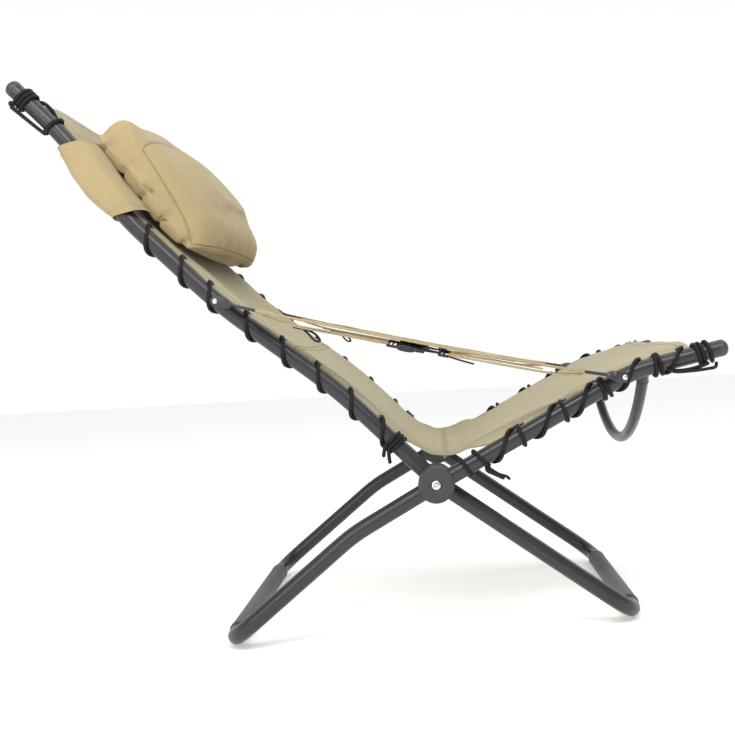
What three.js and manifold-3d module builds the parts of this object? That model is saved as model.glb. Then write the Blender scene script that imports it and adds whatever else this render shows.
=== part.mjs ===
// A folding X-frame recliner: two tube frames that cross at a side hub, a laced fabric sling,
// strap armrests and a headrest pillow on a fabric sleeve that slides along the back rails.
// Millimetres, +Z up, the sitter faces +X and the sitter's right is -Y. The feet stand on Z = 0.
// Points are written from the hub axis, which the top group then lifts to its place.
import * as THREE from "three";
import { mergeVertices } from "three/addons/utils/BufferGeometryUtils.js";
import Module from "manifold-3d";

const wasm = await Module();
wasm.setup();

// --- Driving dimensions ---
const GAP = 0.35; // clearance kept between touching pieces
const TUBE_R = 14;
const TUBE_WALL = 1.5;
const SEAT_HALF = 320; // half the distance between the seat rails, which carry the rear legs
const BACK_HALF = 280; // the same for the back rails, which carry the front legs
const FOOT_SLEEVE_R = 17;
const FOOT_SLEEVE_WALL = 2;
const HUB_HEIGHT = 259;
const HUB_X = 96.8; // puts the middle of the whole length over the origin
const TUBE_SIDES = 12;

// Centre lines in the side plane, as [x, z] corners that are rounded by the radius beside them.
const BACK_RAIL = [[0, 0], [-156, 162], [-348, 317], [-499, 473], [-594, 615], [-671, 696.5]];
const BACK_RAIL_BENDS = [900, 900, 500, 500];
const SEAT_RAIL = [[0, 0], [335.5, 169], [477.3, 197.7]];
const SEAT_RAIL_BENDS = [220];
const REAR_LEG = [[0, 0], [-141.5, -75.5], [-352.5, FOOT_SLEEVE_R - HUB_HEIGHT]];
const REAR_LEG_BENDS = [260];
const FRONT_LEG = [[0, 0], [325.5, FOOT_SLEEVE_R - HUB_HEIGHT]];
const FOOT_CORNER_R = 55;
const FOOT_SLEEVE_INSET = 75; // how far a foot sleeve stops short of each leg

const HUB_R = 30;
const HUB_DEPTH = 34;
const SOCKET_START = 12; // where a tube begins, measured from the hub axis
const BOLT_R = 5;
const BOLT_HEAD_R = 8.5;
const BOLT_HEAD_DEPTH = 3.8;
const COUNTERBORE = 4.6; // sinks the bolt's head below the hub's flat face
const NUT_DEPTH = 8;

const BOW_BAR_R = 9.5;
const COPE_GAP = 1; // weld gap round a rail, which bends a little where the bow bar meets it
const BOW_AT = 393; // distance along the seat rail
const BOW_DROP = 139;
const BACK_BAR_AT = 762; // distance along the back rail, under the headrest
const BACK_BAR_DROP = 3;

const CORD_R = 3;
const LACE_R = 20.4; // corners of the cord's centre line round a rail
const BACK_LACES = [90, 98, 124, 195, 266, 339, 414, 504, 558, 636, 880, 944, 952];
const SEAT_LACES = [58, 87, 132, 162, 213, 243, 283, 315, 323, 369.5, 411, 419, 447, 481, 503];

const SLING_THICK = 2.5;
const SLING_RISE = 23.8; // middle of the cloth above a rail's axis
const SLING_BACK_HALF = 268;
const SLING_SEAT_HALF = 300;
const SLING_BACK_END = 921;
const SLING_SEAT_END = 480;
const SLING_SPLIT = 200; // distance from the hub at which the valley's cloth begins
const VALLEY_R = 47;

const REAR_RIVET_AT = 478.5;
const FRONT_RIVET_AT = 355.5;
const REAR_LINK_END = [-276, 301];
const FRONT_LINK_END = [246, 174];
const LINK_WIDTH = 18;
const LINK_THICK = 3;
const LINK_STANDOFF = 1.6; // room between a link and the round side of its rail
const LINK_KICK = 8; // how far a link's free end stands outside its rivet
const LINK_TAIL = 6; // what a link has behind its rivet
const RIVET_R = 3.2;
const RIVET_HEAD_R = 6;
const BAND_WIDTH = 40;
const BAND_THICK = 6;
const STRAP_WIDTH = 25;
const STRAP_THICK = 3.5;
const STRAP_DROP = 12.5; // how far the straps and the buckle hang under the band
const STRAP_CLOTH = 33; // width of the cloth strap that the webbing is sewn to
const BUCKLE_AT = 0.44; // place of the buckle as a share of the band's length
const SOCKET_LENGTH = 28;
const SOCKET_THICK = 10;
const PLUG_LENGTH = 16;
const PLUG_THICK = 6;
const WEB_LENGTH = 24; // webbing from the buckle's plug to the front slide
const WEB_THICK = 2;
const SLIDE_LENGTH = 18;
const SLIDE_THICK = 3;
const SLIDE_RIM = 2.5;
const TAIL_LENGTH = 48;

const SLEEVE_FROM = 694;
const SLEEVE_LENGTH = 149;
const SLEEVE_BELOW = 23;
const SLEEVE_ABOVE = 33;
const SLEEVE_OUT = 22;
const SLEEVE_CLOTH = 2;
const SLEEVE_CORNER = 12;
const PILLOW_HALF = 250;
const PILLOW_EDGE = 24; // roundness of the pillow's two ends
// The pillow's side outline, as [up the back, out from the rail's axis].
const PILLOW_OUTLINE = [
  [150, 44], [60, 38], [-20, 42], [-118, 62], [-160, 88], [-146, 128],
  [-95, 150], [-20, 152], [55, 140], [120, 116], [156, 86],
];

// --- Materials ---
const paint = (color, roughness, metalness) =>
  new THREE.MeshStandardMaterial({ color, roughness, metalness });
const steel = paint(0x54545a, 0.4, 0.6);
const plastic = paint(0x4a4a4e, 0.55, 0);
const footPlastic = paint(0x6a6a6c, 0.6, 0);
const bright = paint(0xc4c6c8, 0.25, 0.9);
const canvas = paint(0xb9ab86, 0.9, 0);
const cordBlack = paint(0x1b1b1d, 0.8, 0);
const webbing = paint(0x202022, 0.85, 0);

const chair = new THREE.Group();
chair.position.set(HUB_X, 0, HUB_HEIGHT);

function add(name, geometry, material) {
  const mesh = new THREE.Mesh(geometry, material);
  mesh.name = name;
  chair.add(mesh);
  return mesh;
}

// --- Joining and cutting ---
function solidOf(geometry) {
  const bare = geometry.clone();
  bare.deleteAttribute("normal");
  bare.deleteAttribute("uv");
  const merged = mergeVertices(bare, 1e-3);
  return new wasm.Manifold(
    new wasm.Mesh({
      numProp: 3,
      vertProperties: merged.attributes.position.array,
      triVerts: new Uint32Array(merged.index.array),
    }),
  );
}

function geometryOf(solid) {
  const mesh = solid.getMesh();
  const geometry = new THREE.BufferGeometry();
  geometry.setAttribute("position", new THREE.BufferAttribute(mesh.vertProperties, 3));
  geometry.setIndex(new THREE.BufferAttribute(mesh.triVerts, 1));
  return geometry;
}

function cut(base, ...tools) {
  return geometryOf(tools.reduce((left, tool) => left.subtract(solidOf(tool)), solidOf(base)));
}

// --- Sweeps ---
// A path that is stepped exactly at its own points, so a straight stretch costs one step.
class RoutePath extends THREE.Curve {
  constructor(points) {
    super();
    this.points = points;
  }

  getUtoTmapping(u) {
    return u;
  }

  getPoint(t) {
    const at = t * (this.points.length - 1);
    const first = Math.min(Math.floor(at), this.points.length - 2);
    return this.points[first].clone().lerp(this.points[first + 1], at - first);
  }

  getTangent(t) {
    const last = this.points.length - 1;
    const at = Math.round(t * last);
    const into = this.points[Math.max(at, 1)].clone().sub(this.points[Math.max(at, 1) - 1]);
    const from = Math.min(at, last - 1);
    const out = this.points[from + 1].clone().sub(this.points[from]);
    return into.normalize().add(out.normalize()).normalize();
  }
}

function ring(radius, sides) {
  const step = (2 * Math.PI) / sides;
  return Array.from(
    { length: sides },
    (_, i) => new THREE.Vector2(radius * Math.cos(i * step), radius * Math.sin(i * step)),
  );
}

function sweep(points, shape) {
  return new THREE.ExtrudeGeometry(shape, {
    steps: points.length - 1,
    extrudePath: new RoutePath(points),
  });
}

function rod(points, radius, sides) {
  return sweep(points, new THREE.Shape(ring(radius, sides)));
}

function tube(points, radius, wall) {
  const shape = new THREE.Shape(ring(radius, TUBE_SIDES));
  shape.holes.push(new THREE.Path(ring(radius - wall, TUBE_SIDES)));
  return sweep(points, shape);
}

function ribbon(points, width, thick) {
  const w = width / 2;
  const t = thick / 2;
  const corners = [[-w, -t], [w, -t], [w, t], [-w, t]].map((c) => new THREE.Vector2(...c));
  return sweep(points, new THREE.Shape(corners));
}

// Rounds each inner corner of a route by its radius.
function bend(corners, radii, stepAngle = 0.22) {
  const route = [corners[0].clone()];
  for (let i = 1; i < corners.length - 1; i++) {
    const back = corners[i - 1].clone().sub(corners[i]).normalize();
    const on = corners[i + 1].clone().sub(corners[i]).normalize();
    const half = back.angleTo(on) / 2;
    const radius = radii[i - 1];
    const middle = back.clone().add(on).normalize();
    const centre = corners[i].clone().addScaledVector(middle, radius / Math.sin(half));
    const start = corners[i].clone().addScaledVector(back, radius / Math.tan(half)).sub(centre);
    const end = corners[i].clone().addScaledVector(on, radius / Math.tan(half)).sub(centre);
    const turn = Math.PI - 2 * half;
    const steps = Math.max(2, Math.ceil(turn / stepAngle));
    const axis = start.clone().cross(end).normalize();
    for (let k = 0; k <= steps; k++)
      route.push(start.clone().applyAxisAngle(axis, (turn * k) / steps).add(centre));
  }
  route.push(corners.at(-1).clone());
  return route;
}

const inPlane = (corners, y) => corners.map(([x, z]) => new THREE.Vector3(x, y, z));

// The point, direction and seating-side normal at a distance along a route in the side plane.
function along(route, distance) {
  let left = distance;
  let i = 0;
  while (i < route.length - 2 && left > route[i].distanceTo(route[i + 1])) {
    left -= route[i].distanceTo(route[i + 1]);
    i++;
  }
  const direction = route[i + 1].clone().sub(route[i]).normalize();
  const point = route[i].clone().addScaledVector(direction, left);
  const normal = new THREE.Vector3(direction.z, 0, -direction.x);
  if (normal.z < 0) normal.negate();
  return { point, direction, normal };
}

// The stretch of a route between two distances.
function stretch(route, from, to) {
  const kept = [along(route, from).point];
  let run = 0;
  for (let i = 1; i < route.length - 1; i++) {
    run += route[i - 1].distanceTo(route[i]);
    if (run > from + 1 && run < to - 1) kept.push(route[i].clone());
  }
  kept.push(along(route, to).point);
  return kept;
}

function routeLength(route) {
  return route.slice(1).reduce((sum, p, i) => sum + p.distanceTo(route[i]), 0);
}

// Turns a lathe or cylinder, made along +Y, to a direction and puts its origin at a point.
function aim(geometry, point, direction) {
  const turn = new THREE.Quaternion().setFromUnitVectors(new THREE.Vector3(0, 1, 0), direction);
  return geometry.applyQuaternion(turn).translate(point.x, point.y, point.z);
}

function cylinder(radius, length, sides, point, direction) {
  const round = new THREE.CylinderGeometry(radius, radius, length, sides);
  return aim(round.translate(0, length / 2, 0), point, direction);
}

function lathe(profile, sides, point, direction) {
  const outline = profile.map(([r, h]) => new THREE.Vector2(r, h));
  return aim(new THREE.LatheGeometry(outline, sides), point, direction);
}

// --- Frame tubes ---
const backRoute = bend(inPlane(BACK_RAIL, 0), BACK_RAIL_BENDS, 0.07);
const seatRoute = bend(inPlane(SEAT_RAIL, 0), SEAT_RAIL_BENDS, 0.09);
const atSide = (points, y) => points.map((p) => new THREE.Vector3(p.x, p.y + y, p.z));

function rivetHole(route, distance, y, sign) {
  const centre = along(route, distance).point.clone().setY(y);
  return cylinder(RIVET_R + GAP, TUBE_R + 4, 10, centre, new THREE.Vector3(0, sign, 0));
}

function railCap(route, y) {
  const end = along(route, routeLength(route));
  const plug = TUBE_R - TUBE_WALL - 1;
  const dome = Array.from({ length: 5 }, (_, i) => {
    const angle = (i * Math.PI) / 8;
    return [TUBE_R * Math.cos(angle), GAP + 5 + TUBE_R * 0.75 * Math.sin(angle)];
  });
  dome[4][0] = 0;
  const profile = [[0, -16], [plug, -16], [plug, GAP], [TUBE_R, GAP], ...dome];
  return lathe(profile, TUBE_SIDES, end.point.clone().setY(y), end.direction);
}

function rails() {
  for (const [side, sign] of [["right", -1], ["left", 1]]) {
    for (const [name, route, half, rivet] of [
      ["back_rail_", backRoute, BACK_HALF, REAR_RIVET_AT],
      ["seat_rail_", seatRoute, SEAT_HALF, FRONT_RIVET_AT],
    ]) {
      const y = sign * half;
      const whole = stretch(route, SOCKET_START, routeLength(route));
      const bare = tube(atSide(whole, y), TUBE_R, TUBE_WALL);
      add(name + side, cut(bare, rivetHole(route, rivet, y, sign)), steel);
      add(name.replace("rail", "rail_cap") + side, railCap(route, y), plastic);
    }
  }
}

// A leg frame is one bent tube: down one leg, across the foot and up the other leg.
function legRoute(leg, bends, half) {
  const down = inPlane(leg, -half);
  const up = inPlane(leg, half).reverse();
  const radii = [...bends, FOOT_CORNER_R, FOOT_CORNER_R, ...[...bends].reverse()];
  const route = bend([...down, ...up], radii);
  const trim = (end, next) => end.addScaledVector(next.clone().sub(end).normalize(), SOCKET_START);
  trim(route[0], route[1]);
  trim(route.at(-1), route.at(-2));
  return route;
}

function footSleeve(leg, half) {
  const [x, z] = leg.at(-1);
  const start = new THREE.Vector3(x, FOOT_SLEEVE_INSET - half, z);
  const end = new THREE.Vector3(x, half - FOOT_SLEEVE_INSET, z);
  return tube([start, end], FOOT_SLEEVE_R, FOOT_SLEEVE_WALL);
}

function legs() {
  const rear = legRoute(REAR_LEG, REAR_LEG_BENDS, SEAT_HALF);
  const front = legRoute(FRONT_LEG, [], BACK_HALF);
  add("rear_leg_frame", tube(rear, TUBE_R, TUBE_WALL), steel);
  add("front_leg_frame", tube(front, TUBE_R, TUBE_WALL), steel);
  add("rear_foot_sleeve", footSleeve(REAR_LEG, SEAT_HALF), footPlastic);
  add("front_foot_sleeve", footSleeve(FRONT_LEG, BACK_HALF), footPlastic);
}

// --- Cross bars, coped to the rails that they are welded to ---
function copedBar(points, route, distance, half) {
  const at = along(route, distance);
  const tools = [-half, half].map((y) => {
    const start = at.point.clone().setY(y).addScaledVector(at.direction, -60);
    return cylinder(TUBE_R + COPE_GAP, 120, 20, start, at.direction);
  });
  return cut(tube(points, BOW_BAR_R, TUBE_WALL), ...tools);
}

function bowBar() {
  const at = along(seatRoute, BOW_AT).point;
  const radius = (SEAT_HALF ** 2 + BOW_DROP ** 2) / (2 * BOW_DROP);
  const reach = Math.asin(SEAT_HALF / radius);
  const steps = 12;
  const points = Array.from({ length: steps + 1 }, (_, i) => {
    const angle = reach * ((2 * i) / steps - 1);
    const drop = radius * (Math.cos(angle) - Math.cos(reach));
    return new THREE.Vector3(at.x, radius * Math.sin(angle), at.z - drop);
  });
  return copedBar(points, seatRoute, BOW_AT, SEAT_HALF);
}

function backBar() {
  const at = along(backRoute, BACK_BAR_AT);
  const middle = at.point.clone().addScaledVector(at.normal, -BACK_BAR_DROP);
  const ends = [-BACK_HALF, BACK_HALF].map((y) => middle.clone().setY(y));
  return copedBar(ends, backRoute, BACK_BAR_AT, BACK_HALF);
}

// --- Hubs ---
function drum(half, corners, sign, ...bores) {
  const inner = new THREE.Vector3(0, sign * (half - HUB_DEPTH / 2), 0);
  const outward = new THREE.Vector3(0, sign, 0);
  const edge = 1.5;
  const profile = [
    [0, 0],
    [HUB_R, 0],
    [HUB_R, HUB_DEPTH - edge],
    [HUB_R - edge, HUB_DEPTH],
    [0, HUB_DEPTH],
  ];
  const sockets = corners.map(([x, z]) => {
    const way = new THREE.Vector3(x, 0, z).normalize();
    const start = way.clone().multiplyScalar(SOCKET_START - GAP).setY(sign * half);
    return cylinder(TUBE_R + GAP, HUB_R + 10, 20, start, way);
  });
  return cut(lathe(profile, 28, inner, outward), ...bores, ...sockets);
}

function hubs() {
  const outerFace = SEAT_HALF + HUB_DEPTH / 2;
  const headSeat = outerFace - COUNTERBORE;
  const between = BACK_HALF + HUB_DEPTH / 2;
  const innerFace = BACK_HALF - HUB_DEPTH / 2;
  const washerDepth = SEAT_HALF - BACK_HALF - HUB_DEPTH;
  const boltEnd = innerFace - NUT_DEPTH - 3;
  for (const [side, sign] of [["right", -1], ["left", 1]]) {
    const outward = new THREE.Vector3(0, sign, 0);
    const at = (y) => new THREE.Vector3(0, sign * y, 0);
    const bore = (from) => cylinder(BOLT_R + GAP, 40, 12, at(from), outward);
    const headBore = cylinder(BOLT_HEAD_R + GAP, 10, 24, at(headSeat), outward);

    const outer = drum(SEAT_HALF, [SEAT_RAIL[1], REAR_LEG[1]], sign, bore(between), headBore);
    const inner = drum(BACK_HALF, [BACK_RAIL[1], FRONT_LEG[1]], sign, bore(innerFace - 2));
    add("outer_hub_" + side, outer, plastic);
    add("inner_hub_" + side, inner, plastic);

    const washer = cylinder(HUB_R - 8, washerDepth - 2 * GAP, 20, at(between + GAP), outward);
    add("hub_washer_" + side, cut(washer, bore(between - 5)), footPlastic);

    const shank = headSeat + GAP - boltEnd;
    const profile = [
      [0, 0],
      [BOLT_R, 0],
      [BOLT_R, shank],
      [BOLT_HEAD_R, shank],
      [BOLT_HEAD_R, shank + 1.2],
      [BOLT_HEAD_R * 0.6, shank + BOLT_HEAD_DEPTH - 0.6],
      [0, shank + BOLT_HEAD_DEPTH],
    ];
    add("pivot_bolt_" + side, lathe(profile, 12, at(boltEnd), outward), bright);

    const nut = cylinder(BOLT_HEAD_R + 1, NUT_DEPTH, 6, at(innerFace - NUT_DEPTH - GAP), outward);
    add("pivot_nut_" + side, cut(nut, bore(boltEnd - 5)), bright);
  }
}

// --- Lacing: one cord a rail, round the rail at each lace and along the sling's edge between ---
function lacing(route, half, laces, sign) {
  const outboard = new THREE.Vector3(0, sign, 0);
  const turnSteps = 6;
  const advance = 6.6;
  const startAngle = -Math.PI / 3;
  const points = laces.flatMap((distance) =>
    Array.from({ length: turnSteps + 1 }, (_, k) => {
      const at = along(route, distance + advance * (k / turnSteps - 0.5));
      const angle = startAngle + (2 * Math.PI * k) / turnSteps;
      return at.point
        .clone()
        .setY(sign * half)
        .addScaledVector(at.normal, LACE_R * Math.cos(angle))
        .addScaledVector(outboard, LACE_R * Math.sin(angle));
    }),
  );
  return rod(points, CORD_R, 6);
}

function laces() {
  for (const [side, sign] of [["right", -1], ["left", 1]]) {
    add("back_lacing_" + side, lacing(backRoute, BACK_HALF, BACK_LACES, sign), cordBlack);
    add("seat_lacing_" + side, lacing(seatRoute, SEAT_HALF, SEAT_LACES, sign), cordBlack);
  }
}

// --- Sling: the cloth on the back, in the valley over the hubs, and on the seat ---
function lifted(route, from, to, rise) {
  const points = stretch(route, from, to);
  return points.map((p, i) => {
    const before = points[Math.max(i - 1, 0)];
    const after = points[Math.min(i + 1, points.length - 1)];
    const way = after.clone().sub(before).normalize();
    const normal = new THREE.Vector3(way.z, 0, -way.x);
    if (normal.z < 0) normal.negate();
    return p.clone().addScaledVector(normal, rise);
  });
}

function cloth(points, halfAt) {
  const widest = Math.max(SLING_BACK_HALF, SLING_SEAT_HALF);
  const sheet = ribbon(points, 2 * widest, SLING_THICK);
  const position = sheet.attributes.position;
  for (let i = 0; i < position.count; i++)
    position.setY(i, (position.getY(i) * halfAt(position.getX(i))) / widest);
  return sheet;
}

function sling() {
  const back = lifted(backRoute, SLING_SPLIT + GAP, SLING_BACK_END, SLING_RISE);
  const seat = lifted(seatRoute, SLING_SPLIT + GAP, SLING_SEAT_END, SLING_RISE);
  const backEdge = lifted(backRoute, 0, SLING_SPLIT, SLING_RISE);
  const seatEdge = lifted(seatRoute, 0, SLING_SPLIT, SLING_RISE);
  const start = backEdge.at(-1);
  const end = seatEdge.at(-1);

  // The lines of the two halves meet at the valley's corner.
  const down = along(backRoute, 10).direction.clone().negate();
  const up = along(seatRoute, 10).direction;
  const gap = end.clone().sub(start);
  const reach = (gap.x * up.z - gap.z * up.x) / (down.x * up.z - down.z * up.x);
  const corner = start.clone().addScaledVector(down, reach);
  const valley = bend([start, corner, end], [VALLEY_R], 0.25);

  const spread = (x) =>
    THREE.MathUtils.mapLinear(x, start.x, end.x, SLING_BACK_HALF, SLING_SEAT_HALF);
  add("sling_back_panel", cloth(back, () => SLING_BACK_HALF), canvas);
  add("sling_valley_panel", cloth(valley, spread), canvas);
  add("sling_seat_panel", cloth(seat, () => SLING_SEAT_HALF), canvas);
}

// --- Armrests ---
// A flat link lies on the rail's side at its rivet and is twisted level at its free end.
function armLink(rivet, end) {
  const run = end.clone().sub(rivet);
  const length = run.length();
  const bar = new THREE.BoxGeometry(length + LINK_TAIL, LINK_THICK, LINK_WIDTH, 12, 1, 1);
  bar.translate((length - LINK_TAIL) / 2, 0, 0);
  const position = bar.attributes.position;
  const point = new THREE.Vector3();
  for (let i = 0; i < position.count; i++) {
    point.fromBufferAttribute(position, i);
    const twist = THREE.MathUtils.smoothstep(point.x / length, 0.4, 0.8) * (Math.PI / 2);
    position.setXYZ(
      i,
      point.x,
      point.y * Math.cos(twist) - point.z * Math.sin(twist),
      point.y * Math.sin(twist) + point.z * Math.cos(twist),
    );
  }
  const across = new THREE.Vector3(0, 1, 0);
  const hole = cylinder(RIVET_R + GAP, 20, 10, across.clone().multiplyScalar(-10), across);
  const drilled = cut(bar, hole);
  const xAxis = run.clone().normalize();
  const yAxis = new THREE.Vector3(0, 1, 0).addScaledVector(xAxis, -xAxis.y).normalize();
  const zAxis = xAxis.clone().cross(yAxis);
  const place = new THREE.Matrix4().makeBasis(xAxis, yAxis, zAxis).setPosition(rivet);
  return drilled.applyMatrix4(place);
}

function rivet(centre, sign) {
  const foot = TUBE_WALL + LINK_STANDOFF + 4;
  const rise = LINK_THICK / 2 + 0.9;
  const profile = [
    [0, -foot],
    [RIVET_R, -foot],
    [RIVET_R, rise],
    [RIVET_HEAD_R, rise],
    [RIVET_HEAD_R * 0.8, rise + 1.8],
    [0, rise + 2.6],
  ];
  return lathe(profile, 10, centre, new THREE.Vector3(0, sign, 0));
}

// A frame with two slots, for a strap to be doubled through.
function slideAdjuster(at, xAxis) {
  const length = SLIDE_LENGTH - GAP;
  const width = STRAP_WIDTH + 6;
  const slot = (length - 3 * SLIDE_RIM) / 2;
  const slots = [-1, 1].map((side) => {
    const opening = new THREE.BoxGeometry(slot, width - 2 * SLIDE_RIM, SLIDE_THICK + 2);
    return opening.translate((side * (slot + SLIDE_RIM)) / 2, 0, 0);
  });
  const plate = cut(new THREE.BoxGeometry(length, width, SLIDE_THICK), ...slots);
  return placeOnStrap(plate, at, xAxis);
}

function placeOnStrap(geometry, at, xAxis) {
  const yAxis = new THREE.Vector3(0, 1, 0).addScaledVector(xAxis, -xAxis.y).normalize();
  const place = new THREE.Matrix4().makeBasis(xAxis, yAxis, xAxis.clone().cross(yAxis));
  return geometry.applyMatrix4(place.setPosition(at));
}

// Distances on an arm run along its band from the rear link's end.
function arms() {
  for (const [side, sign] of [["right", -1], ["left", 1]]) {
    const overRail = TUBE_R + LINK_STANDOFF + LINK_THICK / 2;
    const onRail = (route, distance, half) =>
      along(route, distance).point.clone().setY(sign * (half + overRail));
    const rearRivet = onRail(backRoute, REAR_RIVET_AT, BACK_HALF);
    const frontRivet = onRail(seatRoute, FRONT_RIVET_AT, SEAT_HALF);
    const linkEnd = ([x, z], from) => new THREE.Vector3(x, from.y + sign * LINK_KICK, z);
    const rearEnd = linkEnd(REAR_LINK_END, rearRivet);
    const frontEnd = linkEnd(FRONT_LINK_END, frontRivet);
    add("rear_arm_link_" + side, armLink(rearRivet, rearEnd), steel);
    add("front_arm_link_" + side, armLink(frontRivet, frontEnd), steel);
    add("rear_arm_rivet_" + side, rivet(rearRivet, sign), bright);
    add("front_arm_rivet_" + side, rivet(frontRivet, sign), bright);

    const way = frontEnd.clone().sub(rearEnd);
    const length = way.length();
    way.normalize();
    const under = new THREE.Vector3(way.z, 0, -way.x).normalize();
    const on = (distance, drop) =>
      rearEnd.clone().addScaledVector(way, distance).addScaledVector(under, drop);
    const clear = GAP + 2;
    const band = [on(clear, 0), on(length - clear, 0)];
    add("arm_band_" + side, ribbon(band, BAND_WIDTH, BAND_THICK), canvas);

    // Where each piece of the buckle's chain starts, from the rear slide to the front one.
    const socket = length * BUCKLE_AT;
    const rearSlide = socket - SLIDE_LENGTH;
    const plug = socket + SOCKET_LENGTH;
    const web = plug + PLUG_LENGTH;
    const frontSlide = web + WEB_LENGTH;
    const frontStrap = frontSlide + SLIDE_LENGTH;

    // The straps leave the links just under the band and drop to the buckle's height.
    const tuck = 8;
    const rear = [
      on(tuck, tuck),
      on(55, tuck + 1),
      on(140, STRAP_DROP),
      on(rearSlide - GAP, STRAP_DROP),
    ];
    const front = [
      on(frontStrap + GAP, STRAP_DROP),
      on(length - 120, STRAP_DROP - 1),
      on(length - tuck, tuck),
    ];
    add("rear_lower_strap_" + side, ribbon(rear, STRAP_CLOTH, STRAP_THICK), canvas);
    add("front_lower_strap_" + side, ribbon(front, STRAP_CLOTH, STRAP_THICK), canvas);

    const slideAt = (start) => on(start + SLIDE_LENGTH / 2, STRAP_DROP);
    add("rear_slide_" + side, slideAdjuster(slideAt(rearSlide), way), plastic);
    add("front_slide_" + side, slideAdjuster(slideAt(frontSlide), way), plastic);

    const block = (from, to, width, thick) =>
      placeOnStrap(
        new THREE.BoxGeometry(to - from - GAP, width, thick),
        on((from + to) / 2, STRAP_DROP),
        way,
      );
    const socketBlock = block(socket, plug, STRAP_WIDTH + 6, SOCKET_THICK);
    const plugBlock = block(plug, web, STRAP_WIDTH + 2, PLUG_THICK);
    add("buckle_socket_" + side, socketBlock, plastic);
    add("buckle_plug_" + side, plugBlock, plastic);
    add("front_webbing_" + side, block(web, frontSlide, STRAP_WIDTH, WEB_THICK), webbing);

    const tailFrom = frontSlide + 12;
    const tail = [on(tailFrom, STRAP_DROP + 6), on(tailFrom + TAIL_LENGTH, STRAP_DROP + 7)];
    add("webbing_tail_" + side, ribbon(tail, STRAP_WIDTH, WEB_THICK), webbing);
  }
}

// --- Headrest: a sleeve round both back rails, and the pillow that is sewn on it ---
function headrest() {
  const base = along(backRoute, SLEEVE_FROM);
  const top = along(backRoute, SLEEVE_FROM + SLEEVE_LENGTH);
  const up = top.point.clone().sub(base.point).normalize();
  const normal = new THREE.Vector3(up.z, 0, -up.x);
  const frame = new THREE.Matrix4().makeBasis(
    new THREE.Vector3(0, 1, 0),
    normal,
    new THREE.Vector3(0, 1, 0).cross(normal),
  );
  const upward = Math.sign(new THREE.Vector3(0, 1, 0).cross(normal).dot(up));

  const half = BACK_HALF + SLEEVE_OUT;
  const loop = (inset) => {
    const y = half - inset;
    const low = -SLEEVE_BELOW + inset;
    const high = SLEEVE_ABOVE - inset;
    const c = SLEEVE_CORNER - inset / 2;
    return [
      [-y + c, low], [y - c, low], [y, low + c], [y, high - c],
      [y - c, high], [-y + c, high], [-y, high - c], [-y, low + c],
    ].map((p) => new THREE.Vector2(...p));
  };
  const shape = new THREE.Shape(loop(0));
  shape.holes.push(new THREE.Path(loop(SLEEVE_CLOTH)));
  const sleeve = new THREE.ExtrudeGeometry(shape, { depth: SLEEVE_LENGTH, bevelEnabled: false });
  if (upward < 0) sleeve.translate(0, 0, -SLEEVE_LENGTH);
  sleeve.applyMatrix4(frame).translate(base.point.x, 0, base.point.z);
  add("headrest_sleeve", sleeve, canvas);

  const turned = PILLOW_OUTLINE.map(([s, t]) => new THREE.Vector3(s, t, 0));
  const smooth = new THREE.CatmullRomCurve3(turned, true).getPoints(22).slice(0, -1);
  const side = new THREE.Shape(smooth.map((p) => new THREE.Vector2(p.x, p.y)));
  const pillow = new THREE.ExtrudeGeometry(side, {
    depth: 2 * (PILLOW_HALF - PILLOW_EDGE),
    bevelThickness: PILLOW_EDGE,
    bevelSize: PILLOW_EDGE * 0.6,
    bevelOffset: -PILLOW_EDGE * 0.6,
    bevelSegments: 2,
  });
  pillow.translate(0, 0, -(PILLOW_HALF - PILLOW_EDGE));
  const lie = new THREE.Matrix4().makeBasis(up, normal, up.clone().cross(normal));
  pillow.applyMatrix4(lie).translate(base.point.x, 0, base.point.z);
  add("headrest_pillow", pillow, canvas);
}

rails();
legs();
add("seat_bow_bar", bowBar(), steel);
add("back_cross_bar", backBar(), steel);
hubs();
laces();
sling();
arms();
headrest();

export default chair;
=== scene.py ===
"""A folding X-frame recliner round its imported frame: two bent tube frames that cross at side hubs,
a canvas sling laced to the rails with black cord, strap arms with buckles, and a boxed headrest
pillow on a fabric sleeve.

Shapes are worked out in millimetres from the hub axis, with the sitter facing +X, and piece() puts
them in the frame's metres."""

import math
from bisect import bisect_right

import bpy
import numpy as np
from mathutils import Matrix, Vector, noise


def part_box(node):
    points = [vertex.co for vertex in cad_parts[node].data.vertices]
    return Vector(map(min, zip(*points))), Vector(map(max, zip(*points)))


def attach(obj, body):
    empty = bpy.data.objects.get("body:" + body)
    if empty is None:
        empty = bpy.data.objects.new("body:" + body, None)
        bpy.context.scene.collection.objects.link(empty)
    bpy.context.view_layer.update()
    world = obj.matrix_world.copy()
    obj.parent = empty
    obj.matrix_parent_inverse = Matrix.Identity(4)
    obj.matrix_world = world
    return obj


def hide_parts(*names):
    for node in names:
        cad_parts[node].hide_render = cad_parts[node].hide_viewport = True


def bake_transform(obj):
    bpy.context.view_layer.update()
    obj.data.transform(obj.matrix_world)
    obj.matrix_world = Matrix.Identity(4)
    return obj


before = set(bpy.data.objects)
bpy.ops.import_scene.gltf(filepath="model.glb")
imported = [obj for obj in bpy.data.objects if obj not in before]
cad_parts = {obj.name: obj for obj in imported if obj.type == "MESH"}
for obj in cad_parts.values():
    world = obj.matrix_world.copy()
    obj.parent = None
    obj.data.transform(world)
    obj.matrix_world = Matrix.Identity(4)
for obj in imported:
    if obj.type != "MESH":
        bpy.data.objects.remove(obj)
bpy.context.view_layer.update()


# --- Driving dimensions, in millimetres ---
MM = 0.001


def middle(node):
    low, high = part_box(node)
    return (low + high) / 2


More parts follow.
